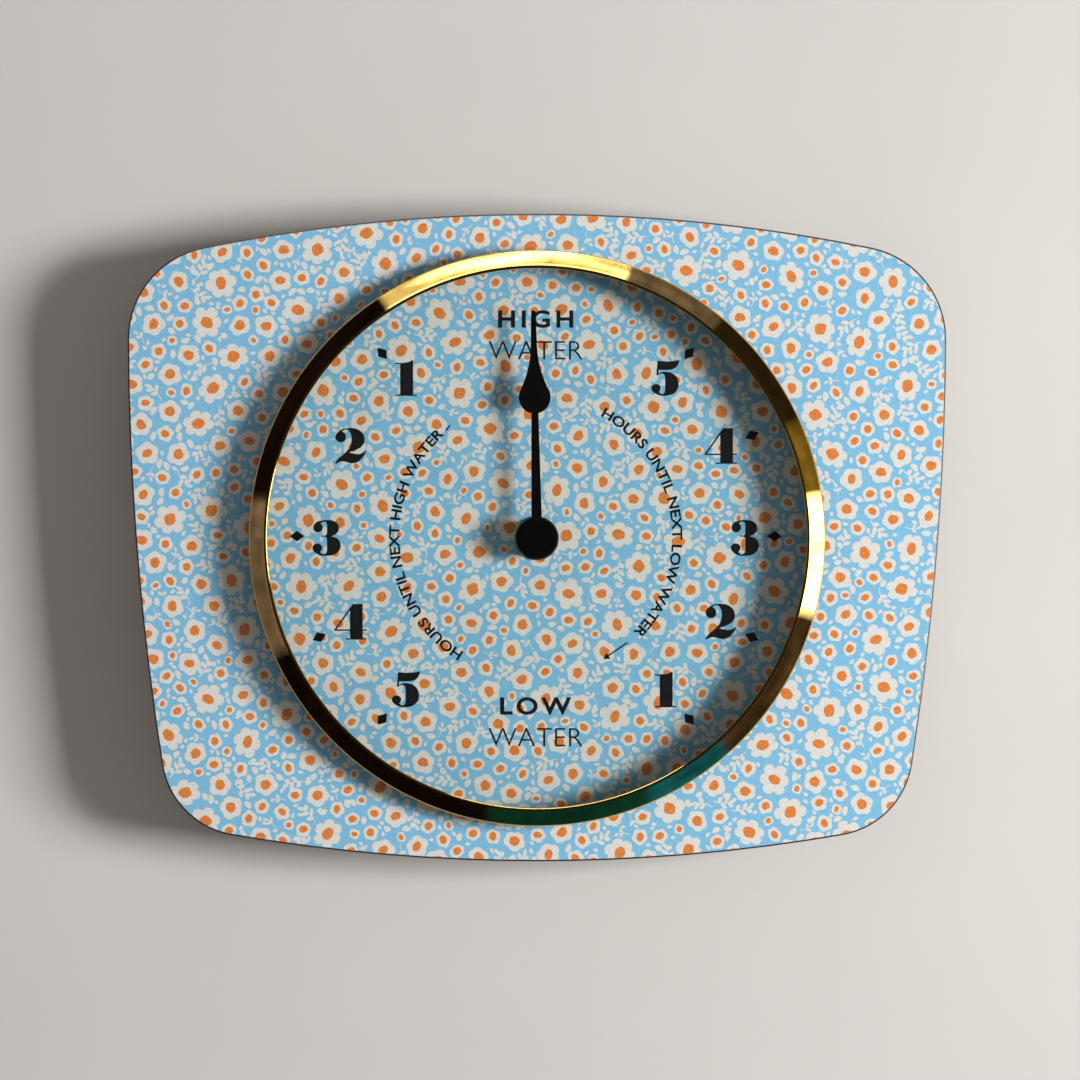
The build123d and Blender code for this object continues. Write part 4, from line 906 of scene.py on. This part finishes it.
class TIDE_OT_glaze(bpy.types.Operator):
    """Bend the glass dome over the dial"""

    bl_idname = "tide_clock.glaze"
    bl_label = "Glaze"

    def execute(self, context):
        look = context.scene.tide_clock.glass
        sphere = (GLASS_RADIUS**2 + look.rise**2) / (2 * look.rise)
        crown = FACE - GLASS_LOW.y
        outs = [GLASS_RADIUS * step / look.rounds for step in range(look.rounds + 1)]
        outer = [(out, crown - sphere + math.sqrt(sphere**2 - out**2)) for out in outs]
        thin = sphere - look.thickness
        inner = [(out, crown - sphere + math.sqrt(thin**2 - out**2)) for out in reversed(outs)]
        dome = spun(outer + inner, [], look.steps)
        smooth(keep_piece("domed_glass", dome, clear_glass(), "clear_glass", "glass"), 30)
        return {"FINISHED"}


class TIDE_OT_dress_hand(bpy.types.Operator):
    """Finish the hand and what fixes it"""

    bl_idname = "tide_clock.dress_hand"
    bl_label = "Dress hand"

    def execute(self, context):
        # stamped aluminium in matt stoving lacquer: near black, softly sheened, faintly orange-peeled
        dull = {"Specular_IOR_Level": 0.12}
        paint(plain_finish("black_lacquer", "060505", 0.2, 4, 0.5, (0.46, 0.58), 0.004, **dull), "tide_hand")
        # moulded cap in the same black, a little glossier at its rim
        soft = {"Specular_IOR_Level": 0.18}
        paint(plain_finish("cap_lacquer", "060505", 0.2, 3, 0.6, (0.3, 0.42), 0.003, **soft), "hand_cap")
        # free-cutting brass off the lathe: yellow with fine tool marks
        brass = plain_finish("turned_brass", "C79D4C", 0.1, 2.5, 0.3, (0.2, 0.34), 0.004, Metallic=1.0)
        paint(brass, "hand_collet", "threaded_bush", "fixing_nut", "brass_washer", "clutch_collar")
        # nitrile sheet, punched: soft black with a dusty bloom
        paint(plain_finish("washer_rubber", "1D1D1D", 0.25, 2, 0.4, (0.7, 0.85), 0.02), "rubber_washer")
        return {"FINISHED"}


class TIDE_OT_dress_case(bpy.types.Operator):
    """Finish the case, cover and knob of the movement"""

    bl_idname = "tide_clock.dress_case"
    bl_label = "Dress case"

    def execute(self, context):
        # ABS moulded in a sparked tool: black with a fine even grain that breaks up the light
        case = plain_finish("moulded_case", "1A1B1D", 0.12, 8, 0.5, (0.44, 0.6), 0.02)
        paint(case, "movement_case", "rear_cover")
        # polystyrene, moulded: warm white with a soft shine
        paint(plain_finish("moulded_knob", "D9D6CC", 0.04, 5, 0.6, (0.35, 0.46), 0.006), "setting_knob")
        paint(battery_finish(), "battery")
        # spring bronze strip, nickel plated: bright, with rolling marks across it
        nickel = plain_finish("nickel_plate", "C6C5C0", 0.08, 2, 0.25, (0.2, 0.32), 0.003, Metallic=1.0)
        paint(nickel, "negative_contact", "positive_contact", "quartz_crystal")
        return {"FINISHED"}


class TIDE_OT_dress_train(bpy.types.Operator):
    """Finish the wheels and the plate that carries them"""

    bl_idname = "tide_clock.dress_train"
    bl_label = "Dress gear train"

    def execute(self, context):
        # acetal, moulded: milky white, waxy and slightly cloudy
        waxy = {"Subsurface_Weight": 0.1}
        white = plain_finish("white_acetal", "E5E1D5", 0.05, 3, 0.5, (0.3, 0.42), 0.005, **waxy)
        paint(white, "hour_wheel", "motion_wheel", "centre_wheel", "step_wheel", "rotor_pinion")
        # filled acetal: the same wax in grey
        paint(plain_finish("grey_acetal", "B6B5AF", 0.06, 3, 0.5, (0.32, 0.45), 0.005), "cannon_pinion")
        # hardened spring strip: blue-grey with rolling lines
        strip = plain_finish("clutch_steel", "9DA0A4", 0.12, 1.5, 0.2, (0.25, 0.4), 0.003, Metallic=1.0)
        paint(strip, "clutch_spring")
        # soft iron sheet, stamped: dull grey with a slight drag along the rolling direction
        iron = plain_finish("soft_iron", "8D8C89", 0.12, 3, 0.4, (0.4, 0.55), 0.006, (1, 1, 6), Metallic=1.0)
        paint(iron, "gear_plate", "stator", "coil_core")
        # sintered ferrite: charcoal with a gritty grain
        paint(plain_finish("rotor_ferrite", "39393B", 0.2, 0.8, 0.2, (0.6, 0.75), 0.02), "rotor_magnet")
        return {"FINISHED"}


class TIDE_OT_dress_circuit(bpy.types.Operator):
    """Finish the coil and the circuit"""

    bl_idname = "tide_clock.dress_circuit"
    bl_label = "Dress circuit"

    def execute(self, context):
        paint(copper_winding(), "coil_winding")
        # nylon, moulded: straw coloured and slightly translucent
        paint(plain_finish("bobbin_nylon", "D8CEA6", 0.06, 3, 0.4, (0.4, 0.5), 0.005), "coil_bobbin")
        # phenolic paper board: brown with the fibres of its sheets
        board = plain_finish("circuit_board", "7A5F33", 0.15, 2, 0.3, (0.45, 0.6), 0.008, (1, 1, 4))
        paint(board, "circuit_board")
        # epoxy, dripped on and cured: black and glossy with a dimpled skin
        paint(plain_finish("potted_chip", "121212", 0.2, 1.5, 0.5, (0.2, 0.32), 0.02), "control_chip")
        return {"FINISHED"}


class TIDE_OT_set_stage(bpy.types.Operator):
    """Set the backdrop, the lamps and the camera"""

    bl_idname = "tide_clock.set_stage"
    bl_label = "Set stage"

    # Paints of the cards that stand round the clock
    LILAC = "757392"
    DUSK = "140F19"
    SEA = "0E4256"
    BLUE = "1264B0"
    UMBER = "40393B"
    OLIVE = "7C7344"
    WHITE = "FFFFFF"
    # Each card: where it begins, by angle from the right, its paint, its strength and its streaks
    CARDS = [
        (-180, LILAC, 1.0, 0.1),
        (-156, DUSK, 0.7, 0.1),
        (-100, SEA, 1.0, 0.1),
        (-66, BLUE, 1.0, 0.1),
        (-48, UMBER, 0.9, 0.3),
        (-15, WHITE, 8.0, 0.0),
        (8.5, OLIVE, 1.0, 0.1),
        (24, UMBER, 0.5, 0.1),
        (50, LILAC, 0.9, 0.1),
        (71, WHITE, 1.05, 1.0),
        (123, DUSK, 1.0, 0.1),
        (172, LILAC, 1.0, 0.1),
    ]
    # Half the width of the soft edge between two cards, and the sizes of their ring in metres
    BLUR = math.radians(0.7)
    RING_RADIUS = 0.45
    RING_DEPTH = 0.5
    WALL_SIZE = 24.0
    FLOOR_DROP = 1.3
    FLOOR_GLOW = 0.5
    BACK_LAMPS = ((-1.1, 1.5, 0.7), (1.3, 1.4, -0.1))
    BACK_POWER = 17.0
    SENSOR = 36.0

    def execute(self, context):
        look = context.scene.tide_clock.stage
        middle = Vector((0, FACE, AXIS_HEIGHT))
        behind = Matrix.Translation((0, REAR + 0.3 * MM, 0)) @ UPRIGHT
        self.sheet("backdrop_wall", behind, self.one_sided_paint(look.pale[:], 0.0))
        below = Matrix.Translation((0, 0, -self.FLOOR_DROP))
        self.sheet("studio_floor", below, self.one_sided_paint(look.pale[:], self.FLOOR_GLOW))
        self.tone_ring(middle)
        self.dark_card(middle)
        aside = Vector((math.sin(look.key_angle), -math.cos(look.key_angle), 0))
        self.lamp("key", middle + aside * look.key_distance, middle, look.key_size, look.key_power, False)
        for place in self.BACK_LAMPS:
            self.lamp("back", Vector(place), middle, 1.0, self.BACK_POWER, True)
        self.room_light(context, look.fill)
        camera = bpy.data.cameras.new("camera")
        camera.sensor_width = self.SENSOR
        camera.lens = self.SENSOR * look.distance / look.framed
        eye = bpy.data.objects.new("camera", camera)
        eye.location = middle + Vector((look.right, -look.distance, -look.below))
        eye.rotation_euler = (math.pi / 2, 0, 0)
        context.scene.collection.objects.link(eye)
        context.scene.camera = eye
        context.scene.view_settings.view_transform = "Standard"
        return {"FINISHED"}

    def sheet(self, name, place, material):
        """A wide flat sheet of the stage."""
        shape = bmesh.new()
        bmesh.ops.create_grid(shape, x_segments=1, y_segments=1, size=self.WALL_SIZE / 2, matrix=place)
        sheet = stand(name, shape, material)
        sheet.visible_shadow = False
        sheet.visible_diffuse = False
        sheet.visible_transmission = False

    def one_sided_paint(self, colour, glow):
        """Pale matt wall paint, rolled on, that is only there when it is looked at from its front."""
        material, tree, shader = new_finish("pale_paint")
        plug(shader, {"Emission Color": colour, "Emission Strength": glow})
        mottle(tree, shader, (toned(colour, 0.985), toned(colour, 1.01)), 90, 2.5, (0.85, 0.95), 0.03)
        behind = add(tree, "NewGeometry", {}).outputs["Backfacing"]
        clear = add(tree, "BsdfTransparent", {})
        mixed = add(tree, "MixShader", {0: behind, 1: shader.outputs[0], 2: clear.outputs[0]})
        plug(tree.nodes["Material Output"], {"Surface": mixed.outputs[0]})
        return material

    def tone_ring(self, middle):
        """Cards round the clock, dark and bright by turns, that only polished metal and glass show."""
        material, tree, shader = new_finish("studio_cards")
        place = add(tree, "TexCoord", {}).outputs["Object"]
        parts = add(tree, "SeparateXYZ", {"Vector": place}).outputs
        height = add(tree, "Math", {0: parts["Z"], 1: middle.z}, operation="SUBTRACT").outputs[0]
        turn = add(tree, "Math", {0: height, 1: parts["X"]}, operation="ARCTAN2").outputs[0]
        share = add(tree, "MapRange", {"Value": turn, "From Min": -math.pi, "From Max": math.pi})
        ramp = add(tree, "ValToRGB", {0: share.outputs[0]})
        # long thin streaks that run with the ring, as from the frames of windows
        where = add(tree, "CombineXYZ", {"X": turn, "Y": parts["Y"]}).outputs[0]
        drawn = add(tree, "Mapping", {"Vector": where, "Scale": (2.2, per_mm(4), 1)}).outputs[0]
        streaks = add(tree, "TexNoise", {"Vector": drawn, "Scale": 1.0, "Detail": 1}).outputs[0]
        gain = {"Value": streaks, "From Min": 0.48, "From Max": 0.62, "To Min": 0.0, "To Max": 7.0}
        gain = add(tree, "MapRange", gain).outputs[0]
        lit = {0: gain, 1: ramp.outputs["Alpha"], 2: 1.0}
        gain = add(tree, "Math", lit, operation="MULTIPLY_ADD").outputs[0]
        # small darker patches across them, as from leaves and furniture
        broken = add(tree, "Mapping", {"Vector": where, "Scale": (16, per_mm(7), 1)}).outputs[0]
        patches = add(tree, "TexNoise", {"Vector": broken, "Scale": 1.0, "Detail": 2}).outputs[0]
        dim = {"Value": patches, "From Min": 0.35, "From Max": 0.6, "To Min": 0.7, "To Max": 1.08}
        dim = add(tree, "MapRange", dim).outputs[0]
        gain = add(tree, "Math", {0: gain, 1: dim}, operation="MULTIPLY").outputs[0]
        stops = ramp.color_ramp.elements
        ends = [card[0] for card in self.CARDS[1:]] + [180]
        spots = []
        for (start, code, strength, streaked), end in zip(self.CARDS, ends):
            colour = [channel * strength for channel in linear(code)[:3]] + [streaked]
            spots.append((math.radians(start) + self.BLUR, colour))
            spots.append((math.radians(end) - self.BLUR, colour))
        while len(stops) < len(spots):
            stops.new(0.5)
        for stop, (turn_at, colour) in zip(stops, spots):
            stop.position = turn_at / TAU + 0.5
            stop.color = colour
        # the cards light nothing: they are only there to be seen in the brass
        spread = add(tree, "LightPath", {}).outputs["Diffuse Depth"]
        seen = add(tree, "Math", {0: spread, 1: 0.5}, operation="LESS_THAN").outputs[0]
        strength = add(tree, "Math", {0: gain, 1: seen}, operation="MULTIPLY").outputs[0]
        glow = add(tree, "Emission", {"Color": ramp.outputs[0], "Strength": strength})
        plug(tree.nodes["Material Output"], {"Surface": glow.outputs[0]})
        shape = bmesh.new()
        ends = {"radius1": self.RING_RADIUS, "radius2": self.RING_RADIUS}
        bmesh.ops.create_cone(shape, segments=96, depth=self.RING_DEPTH, **ends)
        standing = Matrix.Translation((0, REAR - self.RING_DEPTH / 2, middle.z)) @ UPRIGHT
        bmesh.ops.transform(shape, matrix=standing, verts=shape.verts[:])
        self.only_mirrored(stand("studio_cards", shape, material))

    def dark_card(self, middle):
        """The dim room before the clock, that only polished metal and glass show."""
        material, tree, shader = new_finish("dim_room")
        mottle(tree, shader, (linear("060606"), linear("0C0B0A")), 400, 60, (0.9, 0.95), 0.0)
        shape = bmesh.new()
        front = Matrix.Translation((0, REAR - self.RING_DEPTH, middle.z)) @ UPRIGHT
        bmesh.ops.create_circle(shape, cap_ends=True, radius=self.RING_RADIUS, segments=96, matrix=front)
        self.only_mirrored(stand("dim_room", shape, material))

    def only_mirrored(self, thing):
        """Sets a thing on the stage, hidden from all but mirror reflections."""
        thing.visible_camera = False
        thing.visible_diffuse = False
        thing.visible_transmission = False
        thing.visible_shadow = False

    def lamp(self, name, place, target, size, power, mirrored):
        """A square soft lamp that looks at a point, and that polished pieces may mirror."""
        light = bpy.data.lights.new(name, "AREA")
        light.size = size
        light.energy = power
        lamp = bpy.data.objects.new(name, light)
        lamp.visible_transmission = False
        lamp.visible_glossy = mirrored
        lamp.location = place
        lamp.rotation_euler = (target - place).to_track_quat("-Z", "Y").to_euler()
        bpy.context.scene.collection.objects.link(lamp)

    def room_light(self, context, fill):
        """Even light from all round, before a pale background."""
        world = bpy.data.worlds.new("studio")
        world.use_nodes = True
        tree = world.node_tree
        tree.nodes.clear()
        rays = add(tree, "LightPath", {}).outputs
        seen = rays["Is Camera Ray"]
        for ray in ("Is Glossy Ray", "Is Transmission Ray"):
            seen = add(tree, "Math", {0: seen, 1: rays[ray]}, operation="MAXIMUM").outputs[0]
        # light that a piece under the glass sends on is not what the camera sees through the glass
        sent = {0: rays["Is Transmission Ray"], 1: rays["Glossy Depth"], 2: rays["Diffuse Depth"]}
        sent = add(tree, "Math", sent, operation="MULTIPLY_ADD").outputs[0]
        first = add(tree, "Math", {0: sent, 1: 0.5}, operation="LESS_THAN").outputs[0]
        seen = add(tree, "Math", {0: seen, 1: first}, operation="MULTIPLY").outputs[0]
        direct = add(tree, "Math", {0: 1.0, 1: rays["Is Transmission Ray"]}, operation="SUBTRACT").outputs[0]
        level = add(tree, "Math", {0: direct, 1: fill}, operation="MULTIPLY").outputs[0]
        room = add(tree, "Background", {"Color": linear("FFFBF5"), "Strength": level})
        pale = add(tree, "Background", {"Color": linear("F2F0EC"), "Strength": 1.0})
        mixed = add(tree, "MixShader", {0: seen, 1: room.outputs[0], 2: pale.outputs[0]})
        add(tree, "OutputWorld", {"Surface": mixed.outputs[0]})
        context.scene.world = world


class TIDE_PT_clock(bpy.types.Panel):
    """Buttons that make the clock, and what may be changed before"""

    bl_idname = "TIDE_PT_clock"
    bl_label = "Tide Clock"
    bl_space_type = "VIEW_3D"
    bl_region_type = "UI"
    bl_category = "Tide Clock"

    def draw(self, context):
        for group in TideClockSettings.__annotations__:
            look = getattr(context.scene.tide_clock, group)
            column = self.layout.column(heading=group.title())
            for name in type(look).__annotations__:
                column.prop(look, name)
        for operator in STEPS:
            self.layout.operator(operator.bl_idname)


SETTINGS = [FlowerSettings, DialSettings, BezelSettings, GlassSettings, StageSettings, TideClockSettings]
STEPS = [
    TIDE_OT_dress_board,
    TIDE_OT_print_flowers,
    TIDE_OT_print_hours,
    TIDE_OT_print_words,
    TIDE_OT_turn_bezel,
    TIDE_OT_glaze,
    TIDE_OT_dress_hand,
    TIDE_OT_dress_case,
    TIDE_OT_dress_train,
    TIDE_OT_dress_circuit,
    TIDE_OT_set_stage,
]


def register():
    for kind in SETTINGS + STEPS + [TIDE_PT_clock]:
        bpy.utils.register_class(kind)
    bpy.types.Scene.tide_clock = PointerProperty(type=TideClockSettings)


def unregister():
    del bpy.types.Scene.tide_clock
    for kind in reversed(SETTINGS + STEPS + [TIDE_PT_clock]):
        bpy.utils.unregister_class(kind)


def main():
    register()
    for step in STEPS:
        getattr(bpy.ops.tide_clock, step.bl_idname.split(".")[1])()


if __name__ == "__main__":
    main()
